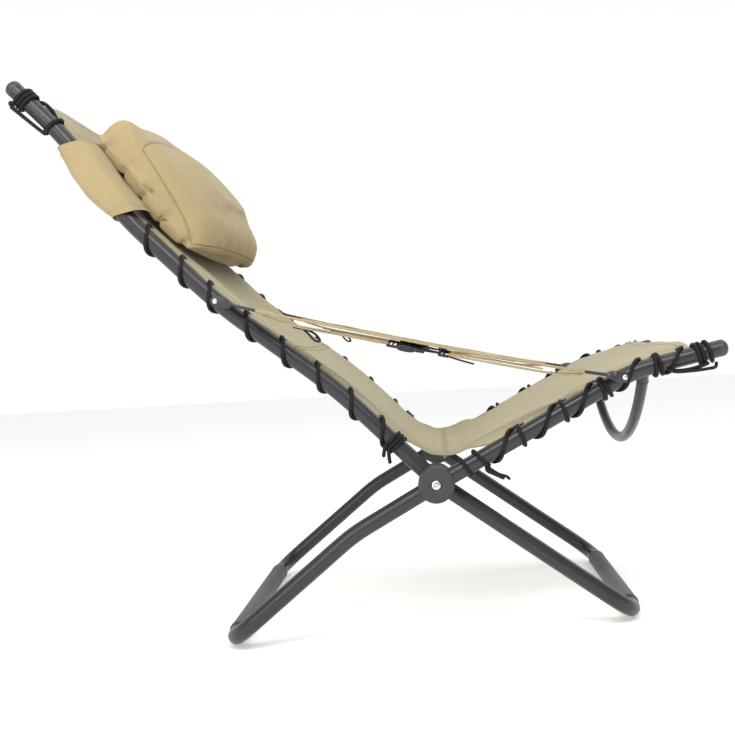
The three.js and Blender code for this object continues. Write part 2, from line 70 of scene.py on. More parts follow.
HUB = Vector((middle("hub_washer_right").x, 0, middle("hub_washer_right").z))
SEAT_HALF = -middle("outer_hub_right").y / MM
BACK_HALF = -middle("inner_hub_right").y / MM
SIDES = (("right", -1), ("left", 1))

TUBE_R = 14
TUBE_SIDES = 36
SOCKET_START = 12
CAP_COLLAR = 5.35
FOOT_SLEEVE_R = 17
BACK_RAIL = [(0, 0), (-156, 162), (-348, 317), (-499, 473), (-594, 615), (-671, 696.5)]
BACK_RAIL_BENDS = [900, 900, 500, 500]
SEAT_RAIL = [(0, 0), (335.5, 169), (477.3, 197.7)]
SEAT_RAIL_BENDS = [220]
REAR_LEG = [(0, 0), (-141.5, -75.5), (-352.5, FOOT_SLEEVE_R - HUB.z / MM)]
REAR_LEG_BENDS = [260]
FRONT_LEG = [(0, 0), (325.5, FOOT_SLEEVE_R - HUB.z / MM)]
FOOT_CORNER_R = 55
FOOT_SLEEVE_INSET = 75

HUB_R = 30
HUB_DEPTH = 34
BOLT_R = 5
BOLT_HEAD_R = 8.5
BOLT_HEAD_DEPTH = 3.8
COUNTERBORE = 4.6
NUT_DEPTH = 8
HUB_GAP = 0.35
HUB_SIDES = 96
BORE_R = BOLT_R + HUB_GAP

BOW_BAR_R = 9.5
BAR_SIDES = 28
BOW_AT = 393
BOW_DROP = 139
BACK_BAR_AT = 762
BACK_BAR_DROP = 3

CORD_R = 3.3
WOUND_R = TUBE_R + CORD_R
SLING_THICK = 2.2
SLING_RISE = 23.8
SLING_BACK_HALF = 268
SLING_SEAT_HALF = 300
SLING_BACK_END = 921
SLING_SEAT_END = 480
SLING_SPLIT = 200
VALLEY_R = 72
EYELET_INSET = 13
BACK_EDGE_DROP = 12  # how far the cord draws the sling's edges down
SEAT_EDGE_DROP = 16.5
SLING_SAG = 13
SCALLOP = 4.0  # how far an edge draws in between two eyelets
PUCKER = 1.9
CREASE_DEPTH = 6.5  # the sharp fold line at the bottom of the valley
CREASE_WIDTH = 3.4
HEM_WIDTH = 24
END_HEM_WIDTH = 20
HEM_RAISE = 0.55
SEAM_RAISE = 0.9
STITCH_PITCH = 4.2
SEAM_AT = 327  # the back's cross seam, by its distance up the rail

REAR_RIVET_AT = 478.5
FRONT_RIVET_AT = 355.5
REAR_LINK_END = (-276, 301)
FRONT_LINK_END = (246, 174)
LINK_WIDTH = 18
LINK_THICK = 3
LINK_STANDOFF = 1.6
LINK_KICK = 8
RIVET_HEAD_R = 4.6
BAND_WIDTH = 40
STRAP_DROP = 12.5
BUCKLE_ROLL = 0.27
STRAP_CLOTH = 33
STRAP_WIDTH = 25
BUCKLE_AT = 0.44
SOCKET_LENGTH = 28
PLUG_LENGTH = 16
WEB_LENGTH = 24
SLIDE_LENGTH = 18
TAIL_LENGTH = 48

SLEEVE_FROM = 694
SLEEVE_LENGTH = 149
SLEEVE_BELOW = 23
SLEEVE_ABOVE = 33
SLEEVE_OUT = 22
SLEEVE_SLANT = 0.4  # how far the hems run down the back as they cross to the seating side
SLEEVE_PIVOT = -4
PILLOW_HALF = 246


# --- Meshes ---
def placed(name, data):
    """A new object in the scene."""
    obj = bpy.data.objects.new(name, data)
    bpy.context.scene.collection.objects.link(obj)
    return obj


def piece(name, verts, faces, uvs=None, sharp=40):
    """A mesh object from points in millimetres from the hub, in the frame's metres."""
    mesh = bpy.data.meshes.new(name)
    mesh.from_pydata([HUB + Vector(v) * MM for v in verts], [], faces)
    if uvs:
        layer = mesh.uv_layers.new(name="UVMap")
        flat = [c for corner_uvs in uvs for uv in corner_uvs for c in uv]
        layer.data.foreach_set("uv", flat)
    mesh.shade_smooth()
    mesh.set_sharp_from_angle(angle=math.radians(sharp))
    return placed(name, mesh)


def finish_as(obj, material, body, slot, *nodes):
    """Gives a piece its material and its body, and hides the CAD nodes that it stands for; slot is not
    used.
    """
    obj.data.materials.clear()
    obj.data.materials.append(material)
    if body:
        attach(obj, body)
    if nodes:
        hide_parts(*nodes)
    return obj


def fit(name, mesh, material, body, slot, *nodes):
    """A finished piece from (verts, faces, uvs)."""
    return finish_as(piece(name, *mesh), material, body, slot, *nodes)


def span(obj, material, start, end, slot, *nodes):
    """Bakes a soft piece's placement into its mesh and finishes it without a body; start and end are not
    used.
    """
    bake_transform(obj)
    return finish_as(obj, material, None, slot, *nodes)


def loft(rings, ends=True, closed=False, girth=1.0):
    """Verts, faces and UVs of a skin over rings of equal count; girth is how far round u runs."""
    count = len(rings[0])
    verts = [v for ring in rings for v in ring]
    run = [0.0]
    for a, b in zip(rings, rings[1:]):
        run.append(run[-1] + (sum(b, Vector()) - sum(a, Vector())).length / count * MM)
    faces, uvs = [], []
    last = len(rings)
    for i in range(last if closed else last - 1):
        k = (i + 1) % last
        for j in range(count):
            m = (j + 1) % count
            faces.append((i * count + j, i * count + m, k * count + m, k * count + j))
            low, high = run[i], run[k] if k else run[i]
            left, right = girth * j / count, girth * (j + 1) / count
            uvs.append([(left, low), (right, low), (right, high), (left, high)])
    if ends and not closed:
        faces.append(tuple(reversed(range(count))))
        faces.append(tuple(range((last - 1) * count, last * count)))
        uvs += [[(0.5, run[0])] * count, [(0.5, run[-1])] * count]
    return verts, faces, uvs


def merged(*parts):
    """Several (verts, faces, uvs) as one."""
    verts, faces, uvs = [], [], []
    for v, f, u in parts:
        start = len(verts)
        verts += v
        faces += [tuple(i + start for i in face) for face in f]
        uvs += u
    return verts, faces, uvs


def carry(points, side):
    """The side and up of a line at each of its points, carried along it without twist."""
    side = Vector(side)
    frames = []
    for i in range(len(points)):
        way = (points[min(i + 1, len(points) - 1)] - points[max(i - 1, 0)]).normalized()
        side = (side - way * side.dot(way)).normalized()
        frames.append((side, way.cross(side)))
    return frames


def circle(radius, sides):
    step = 2 * math.pi / sides
    return [(radius * math.cos(i * step), radius * math.sin(i * step)) for i in range(sides)]


def slab(width, thick, corner, steps=3):
    """A rounded rectangle, anticlockwise, as (across, up)."""
    corner = min(corner, width / 2 - 0.01, thick / 2 - 0.01)
    points = []
    for i, (x, z) in enumerate([(1, 1), (-1, 1), (-1, -1), (1, -1)]):
        for k in range(steps + 1):
            angle = (i + k / steps) * math.pi / 2
            points.append((x * (width / 2 - corner) + corner * math.cos(angle),
                           z * (thick / 2 - corner) + corner * math.sin(angle)))
    return points


def sweep(points, section, side=(0, 1, 0), girth=1.0):
    """A section carried along points; section may be a function of the point's number."""
    points = [Vector(p) for p in points]
    rings = []
    for i, (p, (across, up)) in enumerate(zip(points, carry(points, side))):
        outline = section(i) if callable(section) else section
        rings.append([p + across * a + up * b for a, b in outline])
    return loft(rings, girth=girth)


def rod(points, radius, sides=24, dome=0, side=(0, 1, 0)):
    """A round bar along points, with its ends rounded over a depth of dome."""
    points = [Vector(p) for p in points]
    line = [(p, radius) for p in points]
    if dome:
        angles = [math.pi / 2 * k / 6 for k in range(1, 6)] + [math.pi / 2 * 0.97]
        first = (points[0] - points[1]).normalized()
        last = (points[-1] - points[-2]).normalized()
        head = [(points[0] + first * dome * math.sin(a), radius * math.cos(a)) for a in angles]
        tail = [(points[-1] + last * dome * math.sin(a), radius * math.cos(a)) for a in angles]
        line = head[::-1] + line + tail
    return sweep([p for p, _ in line], lambda i: circle(line[i][1], sides), side)


def lathe(profile, centre, axis, sides=48, closed=False):
    """Turns (radius, height) points about an axis."""
    centre, axis = Vector(centre), Vector(axis).normalized()
    across = axis.orthogonal().normalized()
    up = axis.cross(across)
    rings = []
    for radius, height in profile:
        ring = circle(max(radius, 0.05), sides)
        rings.append([centre + axis * height + across * a + up * b for a, b in ring])
    return loft(rings, closed=closed)


def crown(radius, base, rise, steps, first=1):
    """The (radius, height) profile of a rounded end, from its rim to its axis."""
    angles = [math.pi / 2 * k / steps for k in range(first, steps + 1)]
    return [(radius * math.cos(a), base + rise * math.sin(a)) for a in angles]


def rounded(points, rounds=2):
    """Cuts the corners of an open line, keeping its ends."""
    points = [Vector(p) for p in points]
    for _ in range(rounds):
        cut = [points[0]]
        for a, b in zip(points, points[1:]):
            cut += [a.lerp(b, 0.25), a.lerp(b, 0.75)]
        points = cut + [points[-1]]
    return points


def spline_point(p0, p1, p2, p3, t):
    """A point between p1 and p2 on the smooth line through all four."""
    return 0.5 * (2 * p1 + (p2 - p0) * t + (2 * p0 - 5 * p1 + 4 * p2 - p3) * t * t
                  + (3 * p1 - p0 - 3 * p2 + p3) * t ** 3)


def apply_modifiers(obj):
    """Turns a piece's mesh into what its modifiers make of it, and drops them."""
    graph = bpy.context.evaluated_depsgraph_get()
    mesh = bpy.data.meshes.new_from_object(obj.evaluated_get(graph))
    obj.modifiers.clear()
    obj.data = mesh


def carve(obj, *cutters):
    """Cuts closed meshes, given as (verts, faces, uvs), out of a piece."""
    for mesh in cutters:
        cutter = piece(obj.name + "_tool", *mesh)
        cut = obj.modifiers.new("carve", "BOOLEAN")
        cut.operation = "DIFFERENCE"
        cut.solver = "EXACT"
        cut.object = cutter
        apply_modifiers(obj)
        bpy.data.objects.remove(cutter)
    obj.data.set_sharp_from_angle(angle=math.radians(35))


# --- Lines of the frame ---
def bend(corners, radii, step=0.04):
    """Rounds each inner corner of a route by its radius."""
    corners = [Vector(c) for c in corners]
    route = [corners[0]]
    for i, radius in enumerate(radii, 1):
        back = (corners[i - 1] - corners[i]).normalized()
        on = (corners[i + 1] - corners[i]).normalized()
        half = back.angle(on) / 2
        centre = corners[i] + (back + on).normalized() * (radius / math.sin(half))
        start = corners[i] + back * (radius / math.tan(half)) - centre
        end = corners[i] + on * (radius / math.tan(half)) - centre
        turn = math.pi - 2 * half
        steps = max(2, math.ceil(turn / step))
        axis = start.cross(end).normalized()
        for k in range(steps + 1):
            route.append(Matrix.Rotation(turn * k / steps, 3, axis) @ start + centre)
    route.append(corners[-1])
    return route


def seating_normal(way):
    normal = Vector((way.z, 0, -way.x))
    return normal if normal.z > 0 else -normal


class Rail:
    """A rail's centre line in the side plane, followed by its distance from the hub."""

    def __init__(self, corners, radii):
        self.points = bend([(x, 0, z) for x, z in corners], radii)
        self.runs = [0.0]
        for a, b in zip(self.points, self.points[1:]):
            self.runs.append(self.runs[-1] + (b - a).length)
        self.length = self.runs[-1]

    def at(self, distance):
        """The point, direction and seating-side normal at a distance."""
        i = min(max(bisect_right(self.runs, distance) - 1, 0), len(self.points) - 2)
        way = (self.points[i + 1] - self.points[i]).normalized()
        return self.points[i] + way * (distance - self.runs[i]), way, seating_normal(way)

    def stretch(self, start, end, spacing=8, lift=0):
        """Points from one distance to another, lifted to the seating side."""
        steps = max(1, round(abs(end - start) / spacing))
        line = []
        for k in range(steps + 1):
            point, _, normal = self.at(start + (end - start) * k / steps)
            line.append(point + normal * lift)
        return line


BACK = Rail(BACK_RAIL, BACK_RAIL_BENDS)
SEAT = Rail(SEAT_RAIL, SEAT_RAIL_BENDS)


def beside(points, y):
    return [Vector((p.x, y, p.z)) for p in points]


def smoothstep(x, low, high):
    t = min(max((x - low) / (high - low), 0), 1)
    return t * t * (3 - 2 * t)


# --- Materials ---
class Paint:
    """A Principled material, with a short way to add nodes to it."""

    def __init__(self, name, color, **sockets):
        self.material = bpy.data.materials.new(name)
        self.material.use_nodes = True
        self.tree = self.material.node_tree
        self.shader = self.tree.nodes["Principled BSDF"]
        self.set(self.shader, {"Base Color": (*color, 1), **sockets})

    def set(self, node, values):
        for key, value in values.items():
            socket = node.inputs[key]
            if isinstance(value, bpy.types.NodeSocket):
                self.tree.links.new(value, socket)
            else:
                socket.default_value = value

    def add(self, kind, settings=None, **inputs):
        node = self.tree.nodes.new(kind)
        for key, value in (settings or {}).items():
            setattr(node, key, value)
        self.set(node, {key.replace("_", " "): value for key, value in inputs.items()})
        return node

    def math(self, operation, a, b=0.0):
        node = self.add("ShaderNodeMath", {"operation": operation})
        self.set(node, {0: a, 1: b})
        return node.outputs[0]

    def noise(self, where, scale, detail=3.0, roughness=0.5):
        node = self.add("ShaderNodeTexNoise", Vector=where, Scale=scale, Detail=detail,
                        Roughness=roughness)
        return node.outputs["Fac"]

    def ramp(self, value, low, high, to_low=0.0, to_high=1.0):
        node = self.add("ShaderNodeMapRange", Value=value)
        self.set(node, {1: low, 2: high, 3: to_low, 4: to_high})
        return node.outputs[0]

    def blend(self, share, a, b):
        node = self.add("ShaderNodeMix", {"data_type": "RGBA"})
        self.set(node, {0: share})
        for socket, value in zip((6, 7), (a, b)):
            self.set(node, {socket: value if isinstance(value, bpy.types.NodeSocket) else (*value, 1)})
        return node.outputs[2]

    def bump(self, height, strength, distance, normal=None):
        node = self.add("ShaderNodeBump", Height=height, Strength=strength, Distance=distance)
        if normal:
            self.set(node, {"Normal": normal})
        return node.outputs[0]

    def place(self):
        return self.add("ShaderNodeTexCoord").outputs["Object"]

    def uv(self):
        return self.add("ShaderNodeTexCoord").outputs["UV"]


def tinted(color, by):
    return tuple(c * by for c in color)


def powder_coat(name, color, roughness=0.34):
    """Dark powder coat: fine orange peel, with specks and slightly uneven gloss."""
    p = Paint(name, color, Metallic=0.15, **{"Specular IOR Level": 0.6})
    place = p.place()
    peel = p.noise(place, 420, 2)
    specks = p.ramp(p.noise(place, 1500, 1), 0.62, 0.7)
    cloud = p.noise(place, 9, 4)
    tone = p.blend(p.ramp(cloud, 0.35, 0.7), color, tinted(color, 1.22))
    p.set(p.shader, {
        "Base Color": p.blend(p.math("MULTIPLY", specks, 0.35), tone, tinted(color, 1.9)),
        "Roughness": p.ramp(cloud, 0.3, 0.7, roughness - 0.04, roughness + 0.08),
        "Normal": p.bump(peel, 0.02, 0.0002),
    })
    return p.material


def moulded(name, color, roughness=0.55):
    """Moulded plastic with a fine spark-eroded grain."""
    p = Paint(name, color, **{"Specular IOR Level": 0.45})
    place = p.place()
    pits = p.noise(place, 900, 2)
    cloud = p.noise(place, 14, 3)
    p.set(p.shader, {
        "Base Color": p.blend(p.ramp(cloud, 0.3, 0.75), color, tinted(color, 1.25)),
        "Roughness": p.ramp(pits, 0.3, 0.7, roughness - 0.06, roughness + 0.08),
        "Normal": p.bump(pits, 0.16, 0.0003),
    })
    return p.material


def plated(name, color):
    """Bright zinc plate with fine scratches."""
    p = Paint(name, color, Metallic=1.0)
    place = p.place()
    scratches = p.noise(place, 700, 5, 0.7)
    p.set(p.shader, {
        "Base Color": p.blend(p.ramp(scratches, 0.3, 0.8), color, tinted(color, 0.75)),
        "Roughness": p.ramp(scratches, 0.3, 0.7, 0.2, 0.36),
        "Normal": p.bump(scratches, 0.08, 0.0002),
    })
    return p.material


def braided(name, color):
    """Braided cord: crossed strands round and along it, with painted shade in the grooves between strands
    and painted light on their crowns.
    """
    p = Paint(name, color, **{"Specular IOR Level": 0.3})
    split = p.add("ShaderNodeSeparateXYZ", Vector=p.uv())
    round_, along = split.outputs[0], split.outputs[1]
    turn = p.math("MULTIPLY", round_, 2 * math.pi * 4)
    run = p.math("MULTIPLY", along, 2 * math.pi / 0.006)
    one = p.math("SINE", p.math("ADD", turn, run))
    other = p.math("SINE", p.math("SUBTRACT", turn, run))
    strands = p.math("MAXIMUM", one, other)
    # Painted shade and light: the colour darkens in the grooves between strands and lightens on their
    # raised crowns.
    strand_relief_shading = p.ramp(strands, -0.4, 1.0)
    p.set(p.shader, {
        "Base Color": p.blend(strand_relief_shading, tinted(color, 0.55), tinted(color, 1.5)),
        "Roughness": p.ramp(strands, -1, 1, 0.85, 0.6),
        "Normal": p.bump(strands, 0.6, 0.0005),
    })
    return p.material


def woven(name, color, pitch=0.0011, fine=0.35, dusk=0.86, wrinkle=0.35):
    """Plain-weave canvas: threads from the cloth's own UVs, in metres, with uneven dye and creases."""
    p = Paint(name, color, **{"Specular IOR Level": 0.25, "Sheen Weight": 0.18,
                              "Sheen Roughness": 0.5})
    place = p.place()
    split = p.add("ShaderNodeSeparateXYZ", Vector=p.uv())
    across = p.math("SINE", p.math("MULTIPLY", split.outputs[0], 2 * math.pi / pitch))
    along = p.math("SINE", p.math("MULTIPLY", split.outputs[1], 2 * math.pi / pitch))
    threads = p.math("MULTIPLY", across, along)
    slub = p.noise(place, 260, 3)
    cloud = p.noise(place, 5, 4)
    crease = p.noise(place, 26, 4, 0.6)
    tone = p.blend(p.ramp(cloud, 0.3, 0.7), color, tinted(color, dusk))
    tone = p.blend(p.ramp(slub, 0.35, 0.75, 0.0, 0.3), tone, tinted(color, 1.2))
    tone = p.blend(p.ramp(threads, -1, 1, 0.0, 0.16), tone, tinted(color, 0.6))
    weave = p.bump(threads, fine, 0.0003)
    folds = p.bump(crease, wrinkle, 0.0022, weave)
    p.set(p.shader, {
        "Base Color": tone,
        "Roughness": p.ramp(slub, 0.3, 0.7, 0.78, 0.95),
        "Normal": folds,
    })
    return p.material


STEEL = powder_coat("frame_powder_coat", (0.018, 0.0165, 0.021))
LINK_STEEL = powder_coat("link_powder_coat", (0.026, 0.024, 0.031))
HUB_PLASTIC = moulded("hub_plastic", (0.031, 0.031, 0.034))
FOOT_PLASTIC = moulded("foot_plastic", (0.085, 0.085, 0.088), 0.6)
CAP_PLASTIC = moulded("cap_plastic", (0.040, 0.040, 0.043), 0.4)
WASHER_PLASTIC = moulded("washer_plastic", (0.03, 0.03, 0.032), 0.5)
BUCKLE_PLASTIC = moulded("buckle_plastic", (0.012, 0.012, 0.013), 0.42)
ZINC = plated("bright_zinc", (0.72, 0.73, 0.75))
CORD = braided("lace_cord", (0.0065, 0.006, 0.0068))
WEBBING = woven("black_webbing", (0.010, 0.010, 0.011), 0.0016, 0.8, 0.8, 0.1)
CANVAS = woven("sling_canvas", (0.385, 0.338, 0.202))
ARM_CANVAS = woven("arm_canvas", (0.42, 0.33, 0.178), 0.0012, 0.45)
PILLOW_CANVAS = woven("pillow_canvas", (0.405, 0.317, 0.167), 0.0009, 0.3, 0.84, 0.75)
THREAD = woven("stitching", (0.22, 0.165, 0.085), 0.0008, 0.5)


# --- Frame tubes ---
def end_cap(end, way):
    """A domed plug with a thin collar, on the end of a tube."""
    collar = [(TUBE_R - 1.2, -1), (TUBE_R - 0.3, -0.2), (TUBE_R, 0.6), (TUBE_R, CAP_COLLAR)]
    dome = crown(TUBE_R, CAP_COLLAR, TUBE_R * 0.75, 9)
    return lathe([(0, -1)] + collar + dome, end, way)


def rails():
    for side, sign in SIDES:
        for name, rail, half, body in (("back_rail", BACK, BACK_HALF, "back_frame"),
                                       ("seat_rail", SEAT, SEAT_HALF, "seat_frame")):
            line = beside(rail.stretch(SOCKET_START, rail.length), sign * half)
            tube = rod(line, TUBE_R, TUBE_SIDES)
            fit(f"{name}_tube_{side}", tube, STEEL, body, "frame_steel", f"{name}_{side}")
            end, way, _ = rail.at(rail.length)
            cap = end_cap(beside([end], sign * half)[0], way)
            fit(f"{name}_end_cap_{side}", cap, CAP_PLASTIC, body, "hub_plastic", f"{name}_cap_{side}")


def leg_line(leg, bends, half):
    down = [(x, -half, z) for x, z in leg]
    up = [(x, half, z) for x, z in reversed(leg)]
    radii = [*bends, FOOT_CORNER_R, FOOT_CORNER_R, *reversed(bends)]
    line = bend(down + up, radii, 0.08)
    line[0] = line[0] + (line[1] - line[0]).normalized() * SOCKET_START
    line[-1] = line[-1] + (line[-2] - line[-1]).normalized() * SOCKET_START
    return line


def foot_sleeve(leg, half):
    """A ribbed grip with rolled lips, round the tube across the floor."""
    x, z = leg[-1]
    reach = half - FOOT_SLEEVE_INSET
    lip = 6
    stations = [(-reach, TUBE_R + 0.4), (-reach, FOOT_SLEEVE_R - 1.2), (-reach + 1, FOOT_SLEEVE_R - 0.2),
                (-reach + 2.5, FOOT_SLEEVE_R), (-reach + lip, FOOT_SLEEVE_R),
                (-reach + lip + 1, FOOT_SLEEVE_R - 0.7)]
    stations += [(-y, r) for y, r in reversed(stations)]
    rings = [[Vector((x + a, y, z + b)) for a, b in circle(r, 40)[::-1]] for y, r in stations]
    return loft(rings)


def legs():
    for name, leg, bends, half, body in (
            ("rear", REAR_LEG, REAR_LEG_BENDS, SEAT_HALF, "seat_frame"),
            ("front", FRONT_LEG, [], BACK_HALF, "back_frame")):
        tube = rod(leg_line(leg, bends, half), TUBE_R, TUBE_SIDES)
        fit(f"{name}_leg_tube", tube, STEEL, body, "frame_steel", f"{name}_leg_frame")
        grip = foot_sleeve(leg, half)
        fit(f"{name}_foot_grip", grip, FOOT_PLASTIC, body, "foot_plastic", f"{name}_foot_sleeve")


def weld(centre, way, radius, seed):
    """A rippled bead round a bar where it meets a rail."""
    way = Vector(way).normalized()
    across = way.orthogonal().normalized()
    up = way.cross(across)
    rings = []
    steps = 54
    for k in range(steps):
        angle = 2 * math.pi * k / steps
        out = across * math.cos(angle) + up * math.sin(angle)
        size = 1.7 + 0.35 * math.sin(angle * 18 + seed)
        rings.append([centre + out * (radius + size * 0.5 * a) + way * size * b
                      for a, b in circle(1.0, 8)])
    return loft(rings, closed=True)


def bow_bar():
    """The bar that bows down between the seat rails, with a weld at each end."""
    at, _, _ = SEAT.at(BOW_AT)
    radius = (SEAT_HALF ** 2 + BOW_DROP ** 2) / (2 * BOW_DROP)
    reach = math.asin((SEAT_HALF - 6) / radius)
    full = math.asin(SEAT_HALF / radius)
    steps = 60
    bow = []
    for k in range(steps + 1):
        angle = reach * (2 * k / steps - 1)
        drop = radius * (math.cos(angle) - math.cos(full))
        bow.append(Vector((at.x, radius * math.sin(angle), at.z - drop)))
    beads = []
    for sign, a, b in ((-1, bow[1], bow[2]), (1, bow[-2], bow[-3])):
        way = (b - a).normalized()
        beads.append(weld(a + way * 9.5, way, BOW_BAR_R, sign))
    bar = merged(rod(bow, BOW_BAR_R, BAR_SIDES, side=(1, 0, 0)), *beads)
    fit("seat_bow", bar, STEEL, "seat_frame", "frame_steel", "seat_bow_bar")


def back_bar():
    """The straight bar between the back rails, with a weld at each end."""
    at, _, normal = BACK.at(BACK_BAR_AT)
    at = at - normal * BACK_BAR_DROP
    ends = [Vector((at.x, s * (BACK_HALF - 4), at.z)) for s in (-1, 1)]
    beads = [weld(Vector((at.x, s * (BACK_HALF - TUBE_R - 0.5), at.z)), (0, s, 0), BOW_BAR_R, s)
             for s in (-1, 1)]
    bar = merged(rod(ends, BOW_BAR_R, BAR_SIDES, side=(1, 0, 0)), *beads)
    fit("back_bar", bar, STEEL, "back_frame", "frame_steel", "back_cross_bar")


# --- Hubs ---
OUTER_FACE = SEAT_HALF + HUB_DEPTH / 2
INNER_FACE = BACK_HALF - HUB_DEPTH / 2
HUB_SKIN = [(BORE_R, 0), (HUB_R - 2, 0), (HUB_R - 0.5, 0.7), (HUB_R, 2), (HUB_R, HUB_DEPTH - 2.6),
            (HUB_R - 0.3, HUB_DEPTH - 1.2), (HUB_R - 1.2, HUB_DEPTH - 0.3), (HUB_R - 2.4, HUB_DEPTH)]


def cross_recess(centre, axis, size, depth):
    """Two crossed tapering slots, to cut out of a screw's head."""
    slots = []
    for turn in (0.6, 0.6 + math.pi / 2):
        across = Vector((math.cos(turn), 0, math.sin(turn)))
        up = axis.cross(across)
        rings = []
        for height, share in ((-depth, 0.55), (0, 0.8), (4, 1.1)):
            rings.append([centre + axis * height + across * a * size * share + up * b * size * 0.36
                          for a, b in ((1, -0.5), (1, 0.5), (-1, 0.5), (-1, -0.5))])
        slots.append(loft(rings))
    return slots


def outer_hub(side, out):
    """The outboard drum, with a counterbore for the bolt's head."""
    head = BOLT_HEAD_R + HUB_GAP
    sunk = [(head + 1, HUB_DEPTH), (head + 0.2, HUB_DEPTH - 0.5), (head, HUB_DEPTH - 1.2),
            (head, HUB_DEPTH - COUNTERBORE), (BORE_R, HUB_DEPTH - COUNTERBORE)]
    drum = lathe(HUB_SKIN + sunk, out * (SEAT_HALF - HUB_DEPTH / 2), out, HUB_SIDES, closed=True)
    fit(f"hub_cover_{side}", drum, HUB_PLASTIC, "seat_frame", "hub_plastic", f"outer_hub_{side}")


def inner_hub(side, out):
    """The inboard drum, which is the same without the counterbore."""
    drum = lathe(HUB_SKIN + [(BORE_R, HUB_DEPTH)], out * INNER_FACE, out, HUB_SIDES, closed=True)
    fit(f"hub_base_{side}", drum, HUB_PLASTIC, "back_frame", "hub_plastic", f"inner_hub_{side}")


def hub_washer(side, out):
    """The spacer between the two drums."""
    start = BACK_HALF + HUB_DEPTH / 2
    depth = SEAT_HALF - BACK_HALF - HUB_DEPTH
    ring = [(BORE_R, HUB_GAP), (HUB_R - 8.6, HUB_GAP), (HUB_R - 8, 0.9), (HUB_R - 8, depth - 0.9),
            (HUB_R - 8.6, depth - HUB_GAP), (BORE_R, depth - HUB_GAP)]
    washer = lathe(ring, out * start, out, 64, closed=True)
    fit(f"hub_spacer_{side}", washer, WASHER_PLASTIC, "seat_frame", "washer_plastic",
        f"hub_washer_{side}")


def pivot_bolt(side, out):
    """A round-headed screw through both drums, with a cross recess."""
    under_head = OUTER_FACE - COUNTERBORE + HUB_GAP
    tip = INNER_FACE - NUT_DEPTH - 3
    shank = under_head - tip
    rim = 1.1
    shaft = [(0, 0), (BOLT_R - 0.8, 0), (BOLT_R, 0.8), (BOLT_R, shank)]
    head = [(BOLT_HEAD_R, shank), (BOLT_HEAD_R, shank + rim)]
    head += crown(BOLT_HEAD_R, shank + rim, BOLT_HEAD_DEPTH - rim, 8)
    bolt = piece(f"pivot_screw_{side}", *lathe(shaft + head, out * tip, out))
    carve(bolt, *cross_recess(out * (under_head + BOLT_HEAD_DEPTH), out, 7.0, 3.2))
    finish_as(bolt, ZINC, "seat_frame", "bright_steel", f"pivot_bolt_{side}")


def pivot_nut(side, out):
    """A chamfered hexagon on the bolt's inner end."""
    size = BOLT_HEAD_R + 1
    depth = NUT_DEPTH - 0.3
    profile = [(BORE_R, 0), (size - 1.2, 0), (size, 1.2), (size, depth), (BORE_R, depth)]
    nut = lathe(profile, out * (INNER_FACE - NUT_DEPTH - HUB_GAP), out, 6, closed=True)
    finish_as(piece(f"hub_nut_{side}", *nut, sharp=20), ZINC, "seat_frame", "bright_steel",
              f"pivot_nut_{side}")


def hubs():
    for side, sign in SIDES:
        for part in (outer_hub, inner_hub, hub_washer, pivot_bolt, pivot_nut):
            part(side, Vector((0, sign, 0)))


# --- Lacing ---
# Where the cords turn round the rails, by distance from the hub.
BACK_KNOT = (90, 97, 104)
BACK_TURNS = (124, 195, 266, 339, 414, 494, 558, 636)
BACK_END_KNOT = (941, 948, 955)
SEAT_TURNS = ((132, (162,)), (213, (243,)), (283, (315, 323)), (369.5, (411, 419)))
SEAT_END_KNOT = (484, 491, 503)
SEAT_LEAN = 43  # how far a rising turn runs along the rail


class Lacing:
    """One cord that is wound round a rail and drawn through the eyelets of the sling's hem."""

    def __init__(self, rail, half, sling_half, drop, sign):
        self.rail, self.half, self.sign = rail, half, sign
        self.edge = half - sling_half
        self.eye = self.edge + EYELET_INSET
        self.rise = SLING_RISE - drop
        self.points = []
        self.eyelets = []

    def spot(self, distance, out, up):
        """A place by how far it is out from the rail's axis and above it."""
        point, _, normal = self.rail.at(distance)
        return Vector((point.x, self.sign * (self.half + out), point.z)) + normal * up

    def put(self, distance, out, up):
        self.points.append(self.spot(distance, out, up))

    def wind(self, start, end, from_angle, to_angle):
        """Winds round the rail; angles start on the seating side and grow outboard, in degrees."""
        steps = max(4, round(abs(to_angle - from_angle) / 14))
        for k in range(steps + 1):
            angle = math.radians(from_angle + (to_angle - from_angle) * k / steps)
            self.put(start + (end - start) * k / steps,
                     WOUND_R * math.sin(angle), WOUND_R * math.cos(angle))

    def touch(self, out, up, turn):
        """The angle, in degrees, at which a straight run from a place meets the winding."""
        reach = math.hypot(out, up)
        return math.degrees(math.atan2(out, up) + turn * math.acos(WOUND_R / reach))

    def front(self, top, bottom, rising=False):
        """A turn over the hem, down the outboard side and under to the eyelet, or back up it."""
        over = self.rise + SLING_THICK / 2 + CORD_R + 0.4
        under = self.rise - SLING_THICK / 2 - CORD_R - 0.6
        first = self.touch(-self.edge, over, 1)
        last = self.touch(-self.eye, under, -1) + 360
        kept, self.points = self.points, []
        self.eyelets.append(top)
        self.put(top, -self.eye, under)
        self.put(top, -self.eye, over - 0.6)
        self.put(top, -self.edge, over)
        slope = (bottom - top) / 180
        self.wind(top, top + slope * (last - first), first, last)
        self.put(top + slope * (last - first + 14), -self.eye, under)
        if rising:
            self.points.reverse()
        self.points = kept + self.points

    def ring(self, distance, pitch=6.6):
        """One whole turn close round the rail."""
        self.wind(distance - pitch / 2, distance + pitch / 2, -60, 300)

    def mesh(self):
        return rod(rounded(self.points), CORD_R, 10, dome=CORD_R)

    def tail(self, *places, share=1.0):
        """A short free end through places, with rounded tips, and share of the cord's thickness."""
        radius = CORD_R * share
        return rod(rounded([self.spot(*place) for place in places], 3), radius, 10, dome=radius)


